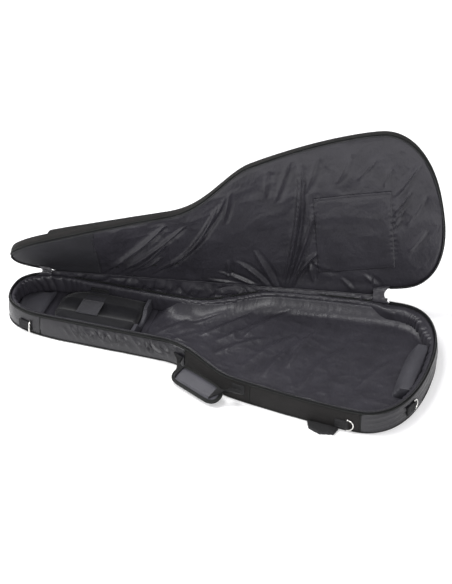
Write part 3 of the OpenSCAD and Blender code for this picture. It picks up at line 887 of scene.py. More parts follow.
def make_floor_pad():
    """The padded floor of the body, with folds that fan from the far side."""
    low, high = node_box("floor_lining")
    x = columns(WALL - 1, low[0] + LENGTH / 2, LENGTH - WALL, 4)
    t = np.linspace(-1, 1, 105)
    x, t = np.meshgrid(x, t, indexing="ij")
    half = half_width(x, WALL - 1)
    y = t * half
    edge = np.clip((1 - np.abs(t)) * half / 26, 0, 1)
    ends = np.clip((x - x[0, 0]) / 14, 0, 1)
    crown = 4.5 * ease(edge) ** 0.6 * ends**0.5
    wrinkle = 1.3 * folds(x, y, FLOOR_FOLDS) + 1.2 * soft_noise(x, y, 70, 111) + 1.3 * crinkle(x, y, 38, 112)
    wrinkle += 0.7 * crinkle(x, y, 17, 113)
    far_side = np.clip((1 - t) * half / 40, 0, 1)
    cove = 40 * (1 - far_side) ** 2.6 * ease((x - low[0] - LENGTH / 2) / 60) * ends
    wrinkle = wrinkle * np.maximum(ease(edge), 0.8 * (t > 0)) * ease(ends)
    height = crown + cove + wrinkle
    top = bag_points(x, y, high[2] - 1.5 + height)
    bottom = bag_points(x, y, low[2] + 0.2)
    cloth = both_faces(x, y)
    pad = add_piece("floor_pad", closed_slab(top, bottom), "lining", "tray", ["floor_lining"], cloth=cloth)


def make_neck_floor():
    """The flat lining under the cradle, from the head to the padded floor."""
    x = columns(WALL - 3, WALL, node_box("floor_lining")[0][0] + LENGTH / 2 + 4, 6)
    x, t = np.meshgrid(x, np.linspace(-1, 1, 40), indexing="ij")
    y = t * half_width(x, WALL - 3)
    top = bag_points(x, y, FLOOR_Z + 1.2 + 0.4 * soft_noise(x, y, 40, 114))
    cloth = both_faces(x, y)
    sheet = add_piece("neck_floor", closed_slab(top, top - (0, 0, 1.4)), "lining", "tray", cloth=cloth)


CLOTH_FRAMES = 20


def puffed(name, node, slot, body, voxel=4.0, cap=5.0, pressure=4.0, material=None):
    """A stuffed piece from a CAD node's mesh: remeshed, swollen by a cloth simulation and smoothed."""
    source = frame["nodes"][node]
    piece = bpy.data.objects.new(name + "_piece", source.data.copy())
    bpy.context.scene.collection.objects.link(piece)
    piece.data.materials.clear()
    piece.data.materials.append(MATERIALS[material or slot])
    bpy.context.view_layer.objects.active = piece
    remesh = piece.modifiers.new("remesh", "REMESH")
    remesh.mode = "VOXEL"
    remesh.voxel_size = voxel * MM
    apply_all(piece)
    before = np.array([v.co for v in piece.data.vertices])
    cloth = piece.modifiers.new("cloth", "CLOTH")
    cloth.settings.use_pressure = True
    cloth.settings.uniform_pressure_force = pressure
    cloth.settings.effector_weights.gravity = 0
    cloth.settings.quality = 4
    for number in range(1, CLOTH_FRAMES + 1):
        bpy.context.scene.frame_set(number)
    apply_all(piece)
    bpy.context.scene.frame_set(1)
    after = np.array([v.co for v in piece.data.vertices])
    move = after - before
    far = np.linalg.norm(move, axis=1)
    move *= np.minimum(1, cap * MM / np.maximum(far, 1e-9))[:, None]
    piece.data.vertices.foreach_set("co", (before + move).astype(np.float32).ravel())
    attribute = piece.data.attributes.new("cloth", "FLOAT_VECTOR", "POINT")
    attribute.data.foreach_set("vector", before.astype(np.float32).ravel())
    piece.data.shade_smooth()
    smooth = piece.modifiers.new("smooth", "SUBSURF")
    smooth.levels = smooth.render_levels = 1
    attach(piece, body)
    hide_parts(node)


def apply_all(piece):
    """Turns a piece's modifiers into its mesh."""
    graph = bpy.context.evaluated_depsgraph_get()
    mesh = bpy.data.meshes.new_from_object(piece.evaluated_get(graph))
    piece.modifiers.clear()
    piece.data = mesh


def make_pads():
    puffed("head_floor_pad", "head_floor_pad", "lining", "tray", material="padding")
    puffed("neck_cradle", "neck_cradle", "velour", "tray", cap=4)
    puffed("cradle_rib", "cradle_rib", "lining", "tray", voxel=3, cap=2, material="padding")
    puffed("end_block", "end_block", "padding", "tray", cap=6)


# ---------------------------------------------------------------- lid: cover, rim and lining

LID_LINING_Z = 72.0
LID_TOP = 94.0
LID_WALL_LOW = 76.6
LID_TEETH_Z = 67.6
LID_EDGE_IN = 4.5
LID_BINDING_Z = 74.6
HEAD_SEAM_X = 218
HEAD_SEAM_SLANT = -0.17
PATCH_FROM, PATCH_TO, PATCH_LOW, PATCH_HIGH = 765, 960, -62, 160
PATCH_SLANT = -0.1

LID_FOLDS = [
    ((198, 112), (410, -64), 9, 8, 0),
    ((235, 118), (456, -48), 7, 7, 0),
    ((268, 116), (400, 6), 6, 4.5, 4),
    ((300, 108), (372, 62), 6, 3.5, 0),
    ((330, 122), (430, 54), 6, 3, 2),
    ((372, 108), (546, -92), 6, 8, 12),
    ((430, 60), (556, -96), 6, 3.5, 8),
    ((548, -30), (584, -130), 7, 2.5, 0),
    ((500, -20), (570, -118), 7, 2.2, 4),
    ((652, 204), (762, -178), 8, 7, 14),
    ((668, 200), (790, -70), 6, 4.5, 6),
    ((684, 194), (768, 96), 7, 7, -10),
    ((742, 126), (812, 158), 8, 4, 4),
    ((644, 202), (606, 70), 8, 4.5, 0),
    ((630, 202), (552, 96), 6, 4, 6),
    ((612, 200), (500, 128), 5, 3, 4),
    ((590, 196), (470, 150), 5, 2.5, 3),
    ((524, 156), (536, 92), 7, 3, 0),
    ((684, -70), (736, -184), 8, 3, 0),
    ((664, -90), (680, -172), 7, 2.5, 0),
    ((756, -80), (804, -184), 9, 2.4, 4),
    ((840, -100), (884, -182), 9, 2.4, 4),
    ((894, -106), (944, -158), 7, 2.6, 0),
    ((954, -80), (978, -132), 6, 3, 0),
    ((976, -46), (1052, -138), 8, 4, 0),
    ((970, 0), (1016, -58), 6, 4.5, 0),
    ((968, 26), (992, -8), 5, 3.5, 0),
    ((958, 50), (982, 18), 5, 3.5, 0),
    ((996, 36), (1052, -44), 8, 3, 0),
    ((990, 114), (1042, 56), 8, 2.4, 0),
    ((738, 186), (736, 130), 6, 3.5, 0),
    ((905, 218), (866, 174), 7, 2.6, 0),
    ((835, 216), (808, 178), 6, 2.4, 0),
]


def lid_far(x, inset):
    """y of the lining's far edge: the hinge line along the waist, the outline elsewhere."""
    on_hinge = (x > HINGE_FROM) & (x < HINGE_TO)
    return np.where(on_hinge, np.maximum(half_width(x, inset), hinge_y(x) - 0.4), half_width(x, inset))


def waist_zone(x):
    """From 0 to 1 where the lid's far edge runs along the hinge."""
    return ease((x - HINGE_FROM + 15) / 30) * (1 - ease((x - HINGE_TO + 15) / 30))


def patch_middle(y):
    """Distance of the slanting patch's middle from the head tip."""
    return (PATCH_FROM + PATCH_TO) / 2 + PATCH_SLANT * (y - 50)


def in_patch(x, y):
    """From 0 outside to 1 inside the patch that is sewn to the lining."""
    across = (PATCH_TO - PATCH_FROM) / 2 - np.abs(x - patch_middle(y))
    up = (PATCH_HIGH - PATCH_LOW) / 2 - np.abs(y - (PATCH_HIGH + PATCH_LOW) / 2)
    return ease(np.minimum(across, up) / 12 + 0.5), across


def lid_lining_z(x, y):
    """Height of the closed lid's lining; lower is nearer to whoever looks into the open bag."""
    near_edge = y + half_width(x, 4)
    far_edge = lid_far(x, 4) - y
    edge = np.clip(np.minimum(near_edge, far_edge), 0, 60)
    waist = waist_zone(x)
    inside, across = in_patch(x, y)
    drape = 1.6 * folds(x, y,
                        LID_FOLDS) * (1 - 0.85 * inside) * ease(np.minimum(near_edge / 14, far_edge / 7))
    drape += (1.6 * soft_noise(x, y, 110, 201) + 0.9 * soft_noise(x, y, 38, 202)) * ease(edge / 20)
    drape += 1.2 * (crinkle(x, y, 46, 203) - 0.4) * ease(edge / 14) * (1 - 0.6 * inside)
    drape += 0.45 * (crinkle(x + 0.5 * y, y, 19, 206) - 0.4) * ease(edge / 14) * (1 - 0.5 * inside)
    side = np.exp(-((across / 7) ** 2)) * ease((y - PATCH_LOW) / 20) * ease((PATCH_HIGH - y) / 20)
    pucker = np.sin(2 * math.pi * (y + 6 * soft_noise(x, y, 26, 204)) / 17)
    drape += 1.3 * side * pucker * (0.4 + 0.6 * soft_noise(x, y, 50, 205))
    rim = 1.6 * (1 - ease(edge / 12)) - 2.0 * ease(edge / 34)
    by_hinge = waist * ease((near_edge - far_edge) / 60 + 0.5)
    return LID_LINING_Z + rim * (1 - 0.7 * by_hinge) - 1.25 * drape - hinge_fall(x, y)


def seam_shear(x, y):
    """x moved so that the column at HEAD_SEAM_X runs along the slanted seam."""
    return x + HEAD_SEAM_SLANT * (y - 10) * np.clip(1 - np.abs(x - HEAD_SEAM_X) / 70, 0, 1)


def lining_grid(x_from, x_to, step, rows):
    x = columns(4, x_from, x_to, step)
    x, u = np.meshgrid(x, np.linspace(0, 1, rows), indexing="ij")
    near, far = -half_width(x, 4), lid_far(x, 4)
    y = near + (far - near) * u
    return seam_shear(x, y), y


def flat_area(x_from, x_to):
    x = np.linspace(x_from, x_to, 400)
    return np.trapz(half_width(x, 4) + lid_far(x, 4), x) * MM * MM


def lid_sheet(name, x, y, z, thickness, slot, nodes, area=None, material=None):
    """A cloth of the lid, its inner face at z and its other face behind."""
    face = bag_points(x, y, z)
    back = face + (0, 0, thickness)
    cloth = both_faces(x, y)
    piece = add_piece(name, closed_slab(back, face), slot, "lid_cloth", nodes, cloth=cloth, material=material,
                      outside="cordura", outside_layer=0)
    return piece


def lid_stitches(name, path_xy, lift=1.0, **options):
    path, _ = even_steps(np.asarray(path_xy, float), 3.0)
    z = lid_lining_z(path[:, 0], path[:, 1]) - lift
    row = bag_points(path[:, 0], path[:, 1], z)
    return add_piece(name, stitches(row, **options), "lining", "lid_cloth", material="thread")


def make_lid_lining():
    x, y = lining_grid(HEAD_SEAM_X - 6, LENGTH, 3.6, 125)
    lid_sheet("lid_lining", x, y, lid_lining_z(x, y), 1.6, "lining", ["lid_lining", "lid_gusset", "lid_foam"],
              flat_area(HEAD_SEAM_X, LENGTH - 5))
    x, y = lining_grid(0, HEAD_SEAM_X, 4.0, 60)
    z = LID_LINING_Z - 2.6 * ease((y + half_width(x, 4)) / 14) * ease((lid_far(x, 4) - y) / 10)
    z = z - 0.9 * soft_noise(x, y, 60, 211) - hinge_fall(x, y)
    lid_sheet("lid_head_panel", x, y, z, 1.6, "matte_lining", ["lid_head_panel"],
              flat_area(6, HEAD_SEAM_X))
    v = np.linspace(-half_width(HEAD_SEAM_X, 8), hinge_y(HEAD_SEAM_X) - 8, 40)
    seam_x = HEAD_SEAM_X + HEAD_SEAM_SLANT * (v - 10) - 3
    lid_stitches("head_panel_stitches", np.column_stack([seam_x, v]), 3.4)


def hinge_fall(x, y):
    """How far the cloth drops to the hinge line at the waist."""
    far_edge = lid_far(x, 4) - y
    return (LID_LINING_Z - HINGE_START[2] - 0.6) * (1 - ease(far_edge / 34)) * waist_zone(x)


def make_lid_patch():
    u, v = np.meshgrid(np.linspace(-1, 1, 64), np.linspace(-1, 1, 70), indexing="ij")
    y = (PATCH_HIGH + PATCH_LOW) / 2 + v * (PATCH_HIGH - PATCH_LOW) / 2
    x = patch_middle(y) + u * (PATCH_TO - PATCH_FROM) / 2
    pillow = np.clip((1 - np.abs(u)) * 8, 0, 1) * np.clip((1 - np.abs(v)) * 8, 0, 1)
    z = lid_lining_z(x, y) - 0.9 - 1.2 * ease(pillow) - 0.8 * crinkle(x, y, 50, 221) * pillow
    width, height = PATCH_TO - PATCH_FROM, PATCH_HIGH - PATCH_LOW
    lid_sheet("lid_patch", x, y, z, 1.4, "lining", ["lid_patch"])
    inset = 0.965
    edge = [(-inset, -inset), (-inset, inset), (inset, inset), (inset, -inset)]
    path = []
    for u, v in edge:
        y = (PATCH_HIGH + PATCH_LOW) / 2 + v * height / 2
        path.append((patch_middle(y) + u * width / 2, y))
    lid_stitches("patch_stitches", path, 1.6, pitch=4.4)
    hem = np.linspace(-1, 1, 60)
    y = np.full(60, PATCH_LOW + 1.0)
    x = patch_middle(y) + hem * width / 2
    row = bag_points(x, y, lid_lining_z(x, y) - 1.8)
    add_piece("patch_hem", swept(row, rounded_strip(7, 2.0)), "lining", "lid_cloth")


def make_lid_cover():
    x = columns(LID_EDGE_IN, 0, LENGTH, 7)
    t = np.sin(np.linspace(-1, 1, 61) * math.pi / 2)
    x, t = np.meshgrid(x, t, indexing="ij")
    half = half_width(x, LID_EDGE_IN)
    y = t * half
    edge = (1 - np.abs(t)) * half
    crown = 4.5 * ease(edge / 50) + (0.8 * soft_noise(x, y, 80,
                                                      231) + 0.5 * crinkle(x, y, 60, 232)) * ease(edge / 20)
    top = bag_points(x, y, LID_TOP - 2.2 + crown)
    cloth = both_faces(x, y)
    cover = add_piece("lid_cover", closed_slab(top, top - (0, 0, 2)), "cordura", "lid_cloth", ["lid_shell"],
                      cloth=cloth)
    area = outline_area()
    s, z = np.meshgrid(np.arange(0, ROUND, 3.0), np.linspace(LID_WALL_LOW, LID_TOP - 1, 9), indexing="ij")
    high = (z - LID_WALL_LOW) / (LID_TOP - LID_WALL_LOW)
    inset = 0.6 - 1.0 * np.sin(math.pi * high) + (LID_EDGE_IN - 0.6) * high**3
    inset = inset - 0.5 * soft_noise(s, z, 40, 241) * np.sin(math.pi * high)
    outer, inner = on_loop(s, inset, z), on_loop(s, inset + SKIN, z)
    cloth = both_faces(s, z)
    band = add_piece("lid_side_band", closed_slab(outer, inner, close_rows=True), "cordura", "lid_cloth",
                     cloth=cloth)
    loop_tube("lid_edge_piping", LID_EDGE_IN - 0.6, LID_TOP - 1.8, 1.8, "binding", "lid_cloth", None)
    loop_tube("lid_binding", 0.7, LID_BINDING_Z, 2.1, "binding", "lid_cloth", "lid_binding")
    zip_tape("lid_zip_tape", LID_TEETH_Z + 1, LID_TEETH_Z + 15, "lid_cloth", "lid_zip_tape")
    zip_teeth("lid_zip_teeth", LID_TEETH_Z, "lid_cloth", "lid_zip_teeth")


# ---------------------------------------------------------------- lid: pockets on its outside

BODY_POCKET_FROM = 660
BODY_POCKET_INSET = 32
BODY_POCKET_TOP = 114.0
BODY_POCKET_BASE = 80.0
BODY_ZIP_Y = -120
BODY_ZIP = (720, 985)
BODY_TEETH_Z = 115.7
NECK_POCKET = (112, 412, -76, 74)
NECK_POCKET_DEPTH = 16
NECK_FLAP = 62


def make_body_pocket():
    """The pocket rides the stiff lid, so its waist end stands off the leaning cover when the bag is open."""
    front = BODY_POCKET_FROM + np.array([0, 0.5, 1.5, 3, 5, 8])
    x = np.concatenate([front, columns(BODY_POCKET_INSET, BODY_POCKET_FROM + 12, LENGTH, 5)])
    t = np.sin(np.linspace(-1, 1, 101) * math.pi / 2)
    x, t = np.meshgrid(x, t, indexing="ij")
    half = half_width(x, BODY_POCKET_INSET)
    y = t * half
    edge = np.minimum((1 - np.abs(t)) * half, x - BODY_POCKET_FROM)
    round_edge = np.sqrt(1 - (1 - np.clip(edge / 7, 0, 1)) ** 2)
    crown = 4 * ease((edge - 70) / 70) + 0.9 * soft_noise(x, y, 70, 251) * ease(edge / 20)
    crown += 0.9 * (crinkle(x, y, 60, 252) - 0.4) * ease(edge / 20)
    calm = 1 - np.exp(-(((y - BODY_ZIP_Y) / 12) ** 2))
    z = BODY_POCKET_BASE + (BODY_POCKET_TOP - BODY_POCKET_BASE) * round_edge + crown * calm
    top = bag_points(x, y, z)
    bottom = bag_points(x, y, BODY_POCKET_BASE - 1)
    cloth = both_faces(x, y)
    pocket = add_piece("body_pocket", closed_slab(top, bottom), "pocket_cloth", "lid", ["body_pocket"],
                       open_lid,
                       cloth=cloth)
    s = np.arange(s_at(BODY_POCKET_FROM + 4), s_at(BODY_POCKET_FROM + 4, far=True), 5.0)
    around = on_loop(s, BODY_POCKET_INSET + 1.4, BODY_POCKET_TOP - 1.6)
    steps = np.linspace(around[-1], around[0], 50)[1:-1]
    add_piece("body_pocket_piping", swept(np.concatenate([around, steps]), circle(1.9, 8), closed=True),
              "binding", "lid", place=open_lid)
    x = np.arange(BODY_ZIP[0], BODY_ZIP[1], 4.0)
    line = bag_points(x, BODY_ZIP_Y, BODY_POCKET_TOP + 0.8)
    tape = add_piece("body_pocket_zip", swept(line, rounded_strip(14, 1.4)), "zip_tape", "lid",
                     ["body_pocket_zip"],
                     place=open_lid)
    teeth_x = np.arange(BODY_ZIP[0], BODY_ZIP[1], 2.2)
    centres = bag_points(teeth_x, BODY_ZIP_Y, BODY_TEETH_Z)
    across = np.tile([0.5, 1.0, 0], (len(teeth_x), 1))
    add_piece("body_pocket_teeth", spindles(centres, across, 4.6, 0.9), "zip_teeth", "lid", place=open_lid)


def make_neck_pocket():
    x0, x1, y0, y1 = NECK_POCKET
    edge_steps = np.array([0, 0.5, 1.5, 3, 5, 8])
    x = np.concatenate([x0 + edge_steps, np.arange(x0 + 13, x1 - 12, 5.0), x1 - edge_steps[::-1]])
    y = np.concatenate([y0 + edge_steps, np.arange(y0 + 13, y1 - 12, 5.0), y1 - edge_steps[::-1]])
    x, y = np.meshgrid(x, y, indexing="ij")
    edge = np.minimum.reduce([x - x0, x1 - x, y - y0, y1 - y])
    round_edge = np.sqrt(1 - (1 - np.clip(edge / 9, 0, 1)) ** 2)
    puff = 4 * ease(edge / 50) + 1.2 * soft_noise(x, y, 60, 261) * ease(edge / 15)
    z = LID_TOP - 6 + (NECK_POCKET_DEPTH + 6) * round_edge + puff
    top = bag_points(x, y, z)
    bottom = bag_points(x, y, LID_TOP - 7)
    cloth = both_faces(x, y)
    pocket = add_piece("neck_pocket", closed_slab(top, bottom), "pocket_cloth", "lid_cloth", ["neck_pocket"],
                       cloth=cloth)
    keep = y[0] < y0 + NECK_FLAP
    x, y, z = x[:, keep], y[:, keep], z[:, keep]
    over = np.stack([x0 - 1.5 + (x - x0) * (x1 - x0 + 3) / (x1 - x0) - LENGTH / 2, y - 1.2, z + 1.8], axis=-1)
    cloth = both_faces(x, y)
    flap = add_piece("neck_pocket_flap", closed_slab(over, over - (0, 0, 1.6)), "cordura", "lid_cloth",
                     ["neck_pocket_flap"], cloth=cloth)


# ---------------------------------------------------------------- hinge cloth between tray and lid

# how far inside the outline the end gussets start; with the lid shut they cut the parked sliders, and
# they do so less at 5 than at 9
GUSSET_IN = 9


def make_hinge_web():
    """The tray's side of the hinge: a crumpled strip from the top of the wall to the hinge line."""
    x = np.arange(HINGE_FROM, HINGE_TO + 1, 3.0)
    x, u = np.meshgrid(x, np.linspace(0, 1, 40), indexing="ij")
    low = half_width(x, 11)
    high = hinge_y(x)
    y = low + (high - low) * u
    width = high - low
    sag = (2 + 0.10 * width) * np.sin(math.pi * u) ** 0.8
    rough = np.clip(width / 30, 0.5, 1.3) * np.sin(math.pi * np.clip(u, 0.04, 0.97)) ** 0.5
    crease = 4.5 * (crinkle(x, y * 1.4, 30, 271) - 0.45) + 2.2 * soft_noise(x * 1.3, y, 14, 272)
    z = 61 + 5 * u**1.5 - sag + rough * crease
    z = np.minimum(z, HINGE_START[2] - 0.4 + 3.5 * np.sin(math.pi * u))
    top = bag_points(x, y, z)
    cloth = both_faces(x, y)
    web = add_piece("tray_gusset", closed_slab(top, top - (0, 0, 1.4)), "lining", "tray", ["tray_gusset"],
                    cloth=cloth,
                    outside="cordura")
    x = np.arange(HINGE_FROM - 6, HINGE_TO + 8, 4.0)
    wobble = 0.7 * soft_noise(x, x * 0, 16, 273)
    path = bag_points(x, hinge_y(x) + wobble, HINGE_START[2] + 0.6 * wobble)
    add_piece("hinge_seam", swept(path, circle(1.7, 8)), "lining", "tray")


def make_hinge_ends():
    """Folded gussets in the corners, from each end of the hinge to the end of the zipper."""
    for end, x_from, x_to in (("head", HINGE_FROM + 2, ZIP_END_HEAD - 20),
                              ("tail", HINGE_TO - 3, ZIP_END_TAIL + 15)):
        run, u = np.meshgrid(np.linspace(0, 1, 16), np.linspace(0, 1, 30), indexing="ij")
        x = x_from + run * (x_to - x_from) * (1 - 0.35 * np.sin(math.pi * u))
        reach = hinge_y(x) - half_width(x, GUSSET_IN)
        bow = np.sin(math.pi * u)
        reach = reach * (1 - 0.22 * bow) + 1.2 * soft_noise(x, u * 40, 11, 275) * bow
        corner = HINGE_START[2] + 6 * u**2 - 5 * (1 - u) ** 2
        flat = bag_points(x, hinge_y(x) - reach, corner).reshape(-1, 3)
        face = stand(flat, u.ravel()).reshape(*x.shape, 3)
        back = stand(flat + (0, 1.4, 0), u.ravel()).reshape(*x.shape, 3)
        cloth = both_faces(x, u * 40)
        gusset = add_piece("hinge_gusset_" + end, closed_slab(face, back), "lining", cloth=cloth,
                           outside="cordura")
        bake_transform(gusset)


# ---------------------------------------------------------------- straps, tabs and handle

STRAP_X = 211
STRAP_WIDTH = 50
TAB_HALF = 12
HANDLE = joint("handle_swing")
HANDLE_DROOP = math.radians(22)
HANDLE_ENDS = (482, 662)
HANDLE_SPAN = 202.4
ANCHOR_HALF = 17
ANCHOR_LOW, ANCHOR_HIGH = 24, 52
GRIP_LENGTH, GRIP_WIDTH, GRIP_THICKNESS, GRIP_NEAR = 146, 44, 18, 19


def strap(name, path, width, thickness, slot, body, nodes=(), up=(0, 0, 1),
          material=None):
    """Flat webbing along a path."""
    path, at = even_steps(np.asarray(path, float), 2.5)
    section = rounded_strip(width, thickness)
    solid = swept(path, section, up=up)
    cloth = np.column_stack([np.repeat(at, len(section)), np.tile(section[:, 0], len(at))])
    piece = add_piece(name, solid, slot, body, nodes, cloth=cloth, material=material)
    return piece


def make_neck_strap():
    pad_low, pad_high = node_box("neck_strap_pad")
    strap_low, strap_high = node_box("neck_strap")
    middle = STRAP_X - LENGTH / 2
    z = (strap_low[2] + strap_high[2]) / 2
    y = np.linspace(strap_high[1], pad_low[1] + 12, 30)
    ripple = 1.2 * np.sin(np.linspace(0, math.pi, 30)) + 0.25 * np.sin(y / 3)
    path = np.column_stack([np.full(30, middle), y, z + ripple])
    strap("neck_strap", path, STRAP_WIDTH, 2.2, "webbing", "neck_strap_body", ["neck_strap"],
          material="matte_lining")
    y = np.linspace(pad_high[1], pad_low[1], 30)
    path = np.column_stack([np.full(30, middle), y,
                            pad_low[2] + 2.4 + 0.8 * np.sin(np.linspace(0.2, 2.6, 30))])
    strap("neck_strap_pad", path, pad_high[0] - pad_low[0], 2.6, "strap_patch", "neck_strap_body",
          ["neck_strap_pad"])
    near, far = pad_low[1] + 5, pad_high[1] - 5
    left, right = pad_low[0] + 5, pad_high[0] - 5
    box = [(left, near), (right, near), (right, far), (left, far), (left, near)]
    row = [(x, y, pad_low[2] + 4.4) for x, y in box]
    add_piece("strap_pad_stitches", stitches(row, 3.4, 2.4, 0.5), "webbing", "neck_strap_body",
              material="thread")
    low, high = node_box("neck_strap_anchor")
    wall_y = low[1] - 1.0
    path = [(middle, wall_y + 0.6, high[2] - 2), (middle, wall_y, low[2] + 4),
            (middle, wall_y - 1.5, low[2] + 0.6)]
    strap("neck_strap_anchor", path, STRAP_WIDTH - 2, 2.0, "webbing", "tray", ["neck_strap_anchor"],
          up=(0, -1, 0.2))


def ring_tab(name, ring):
    """Webbing sewn to the side, round a ring's bar and back over itself."""
    place = np.array(joint(ring)["pos_m"]) / MM
    k = np.argmin(np.linalg.norm(LOOP - (place[0] + LENGTH / 2, place[1]), axis=1))
    out = np.array(LOOP_NORMAL[k])
    along = np.array([-out[1], out[0]])
    turn = np.linspace(math.pi / 2, -math.pi / 2, 9)
    bend = np.column_stack([2.9 * np.cos(turn), 2.9 * np.sin(turn)])
    under = [(-33, 1.6), (-22, 1.5), (-12, 1.8), (-4, 2.8)]
    back = [(-4, -2.4), (-9, -0.6), (-14, 0.0), (-22, -0.2), (-31, 0.0)]
    flat = np.concatenate([under, bend, back])
    path = [(*(place[:2] + along * u - out * v), place[2]) for u, v in flat]
    path, at = even_steps(np.array(path), 1.2)
    edge = [(0.75, -1), (0.75, 1), (0.4, 1.04), (-0.4, 1.04)]
    section = np.array(edge + [(-a, -b) for a, b in edge]) * (1, TAB_HALF)
    cloth = np.column_stack([np.repeat(at, len(section)), np.tile(section[:, 1], len(at))])
    tab = add_piece(name, swept(path, section), "webbing", "tray", cloth=cloth)
    corners = [(-29, -0.95, -9), (-29, -0.95, 9), (-13, -0.95, 9), (-13, -0.95, -9), (-29, -0.95, -9)]
    box = [(*(place[:2] + along * u - out * v), place[2] + w) for u, v, w in corners]
    add_piece(name + "_stitches", stitches(box, 3.2, 2.2, 0.45), "webbing", "tray", material="thread")
    return tab


def handle_place(points):
    """Points of the handle's own frame (X along the wall, -Y away from it) in the bag's."""
    along = -np.array(HANDLE["axis"])
    along /= np.linalg.norm(along)
    side = np.cross((0, 0, 1), along)
    y_axis = side * math.cos(HANDLE_DROOP) + np.array([0, 0, 1]) * math.sin(HANDLE_DROOP)
    z_axis = np.cross(along, y_axis)
    return np.array(HANDLE["pos_m"]) / MM + points @ np.stack([along, y_axis, z_axis])


def grip_outline(x):
    """Half width of the grip at x from its middle: straight sides and round ends."""
    return GRIP_WIDTH / 2 * np.clip(1 - np.abs(2 * x / GRIP_LENGTH) ** 7, 0, 1) ** 0.45


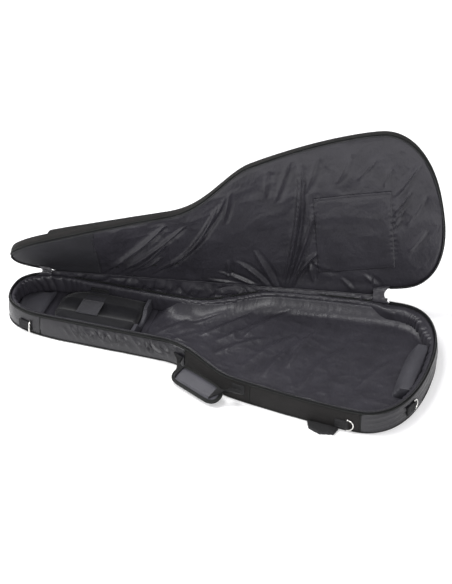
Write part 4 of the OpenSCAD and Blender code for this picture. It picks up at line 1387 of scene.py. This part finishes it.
def make_handle():
    half = GRIP_LENGTH / 2
    x = half * np.sin(np.linspace(-1, 1, 90) * math.pi / 2)
    t = np.sin(np.linspace(-1, 1, 41) * math.pi / 2)
    x, t = np.meshgrid(x, t, indexing="ij")
    middle = -GRIP_NEAR - GRIP_WIDTH / 2
    y = middle + t * grip_outline(x)
    pillow = np.sqrt(np.clip(1 - np.abs(t) ** 3.2, 0, 1)) * np.sqrt(np.clip(1 - np.abs(x / half) ** 9, 0, 1))
    soft = 0.5 * soft_noise(x, y, 24, 281) * pillow
    bend = -3.0 * (x / half) ** 2
    thick = GRIP_THICKNESS / 2
    top = np.stack([x, y, bend + 1.2 + (thick - 1.2) * pillow + soft], axis=-1)
    bottom = np.stack([x, y, bend - 1.2 - (thick - 2.2) * pillow], axis=-1)
    cloth = both_faces(x, y)
    grip = add_piece("handle_grip", closed_slab(top, bottom), "sheen_nylon", "handle", ["handle_grip"],
                     handle_place, cloth)
    x = half * np.sin(np.linspace(-1, 1, 60) * math.pi / 2)
    edge = np.concatenate([np.column_stack([x, middle + grip_outline(x)]),
                           np.column_stack([x, middle - grip_outline(x)])[-2:0:-1]])
    edge, _ = even_steps(np.concatenate([edge, edge[:1]]), 3.0)
    edge = edge[:-1]
    loop = np.column_stack([edge, -3.0 * (edge[:, 0] / half) ** 2])
    add_piece("handle_binding", swept(loop, circle(5.4, 12, 1.05), closed=True), "binding", "handle",
              place=handle_place)
    inner = np.column_stack([loop[:, 0] * 0.90, middle + (loop[:, 1] - middle) * 0.74, loop[:, 2] + 8.1])
    inner = np.concatenate([inner, inner[:1]])
    add_piece("handle_stitches", stitches(inner, 3.6, 2.4, 0.4), "sheen_nylon", "handle", place=handle_place,
              material="thread")
    for side, end in ((-1, "head"), (1, "tail")):
        u, v = np.meshgrid(np.linspace(0, 1, 24), np.linspace(0, 1, 11), indexing="ij")
        start = np.stack([side * (HANDLE_SPAN / 2 + 16 * (1 - 2 * v)), -1.5 + 0 * v, 0 * v], axis=-1)
        finish = np.stack([side * (half - 15 + 0 * v), -GRIP_NEAR - 5 - 34 * v, 0 * v], axis=-1)
        curve = ease(u)[..., None]
        middle_line = start * (1 - curve) + finish * curve
        lift = 4.0 * np.sin(math.pi * u) + 5.6 * ease(u) + 1.6 * np.sin(math.pi * v) * np.sin(math.pi * u)
        middle_line[..., 2] += lift
        middle_line[..., 1] -= 3.0 * np.sin(math.pi * u)
        cloth = both_faces(u * 52, v * 26)
        web = add_piece("handle_webbing_" + end,
                        closed_slab(middle_line + (0, 0, 3.6), middle_line - (0, 0, 3.6)),
                        "webbing", "handle", ["handle_webbing"], handle_place, cloth)
    for x, end in zip(HANDLE_ENDS, ("head", "tail")):
        s, z = np.meshgrid(np.linspace(s_at(x - ANCHOR_HALF), s_at(x + ANCHOR_HALF), 22),
                           np.linspace(ANCHOR_LOW, ANCHOR_HIGH, 16), indexing="ij")
        bow = 3.2 + 0.6 * np.sin(math.pi * (z - ANCHOR_LOW) / (ANCHOR_HIGH - ANCHOR_LOW))
        outer, inner = on_loop(s, -bow, z), on_loop(s, -bow + 1.8, z)
        cloth = both_faces(s, z)
        patch = add_piece("handle_anchor_" + end, closed_slab(outer, inner), "webbing", "tray",
                          ["handle_anchors"],
                          cloth=cloth)
        s0, s1 = s_at(x - 14), s_at(x + 14)
        cross = [(s0, 27), (s1, 27), (s1, 49), (s0, 49), (s0, 27), (s1, 49), (s1, 27), (s0, 49)]
        height = lambda b: (b - ANCHOR_LOW) / (ANCHOR_HIGH - ANCHOR_LOW)
        row = np.array([on_loop(a, -4.1 - 0.4 * np.sin(math.pi * height(b)), b) for a, b in cross])
        add_piece("anchor_stitches_" + end, stitches(row, 3.2, 2.2, 0.4), "webbing", "tray",
                  material="thread")


def make_tabs():
    tabs = [ring_tab(k + "_ring_tab", k + "_ring_swing") for k in ("side", "tail", "head")]
    for tab in tabs:
        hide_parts("ring_tabs")
    puffed("strap_tab", "strap_tab", "webbing", "tray", voxel=2.5, cap=1.5, pressure=3)


# ---------------------------------------------------------------- seams

def make_seams():
    """Corded seams where the side panels meet."""
    for x, end in ((HEAD_CAP_END, "head"), (NECK_END, "neck"), (SHOULDER_END, "shoulder"),
                   (BODY_END, "body")):
        for far in (False, True):
            if far and end in ("neck", "shoulder"):
                continue
            z = np.linspace(PANEL_LOW + 1, SKIN_TOP, 16)
            swell = 0.9 * np.sin(math.pi * (z - PANEL_LOW) / PANEL_HEIGHT) ** 0.8
            path = on_loop(s_at(x, far), 0.3 - swell - spread(s_at(x, far), z), z)
            name = "seam_" + end + ("_far" if far else "_near")
            add_piece(name, swept(path, circle(1.5, 8), up=(1, 0, 0)), "binding", "tray")


# ---------------------------------------------------------------- build

make_camera()
make_light()
make_floor()
make_side_panels()
make_base()
make_rims()
make_wall_pad()
make_floor_pad()
make_neck_floor()
make_pads()
make_hinge_web()
make_hinge_ends()
make_lid_cover()
make_lid_lining()
make_lid_patch()
make_body_pocket()
make_neck_pocket()
make_neck_strap()
make_handle()
make_tabs()
make_seams()

for name, node in frame["nodes"].items():
    if not node.hide_render:
        record = next(p for p in frame["record"]["subparts"] if p["node"] == name)
        node.data.materials.clear()
        node.data.materials.append(MATERIALS.get(record.get("material_slot"), MATERIALS["lining"]))
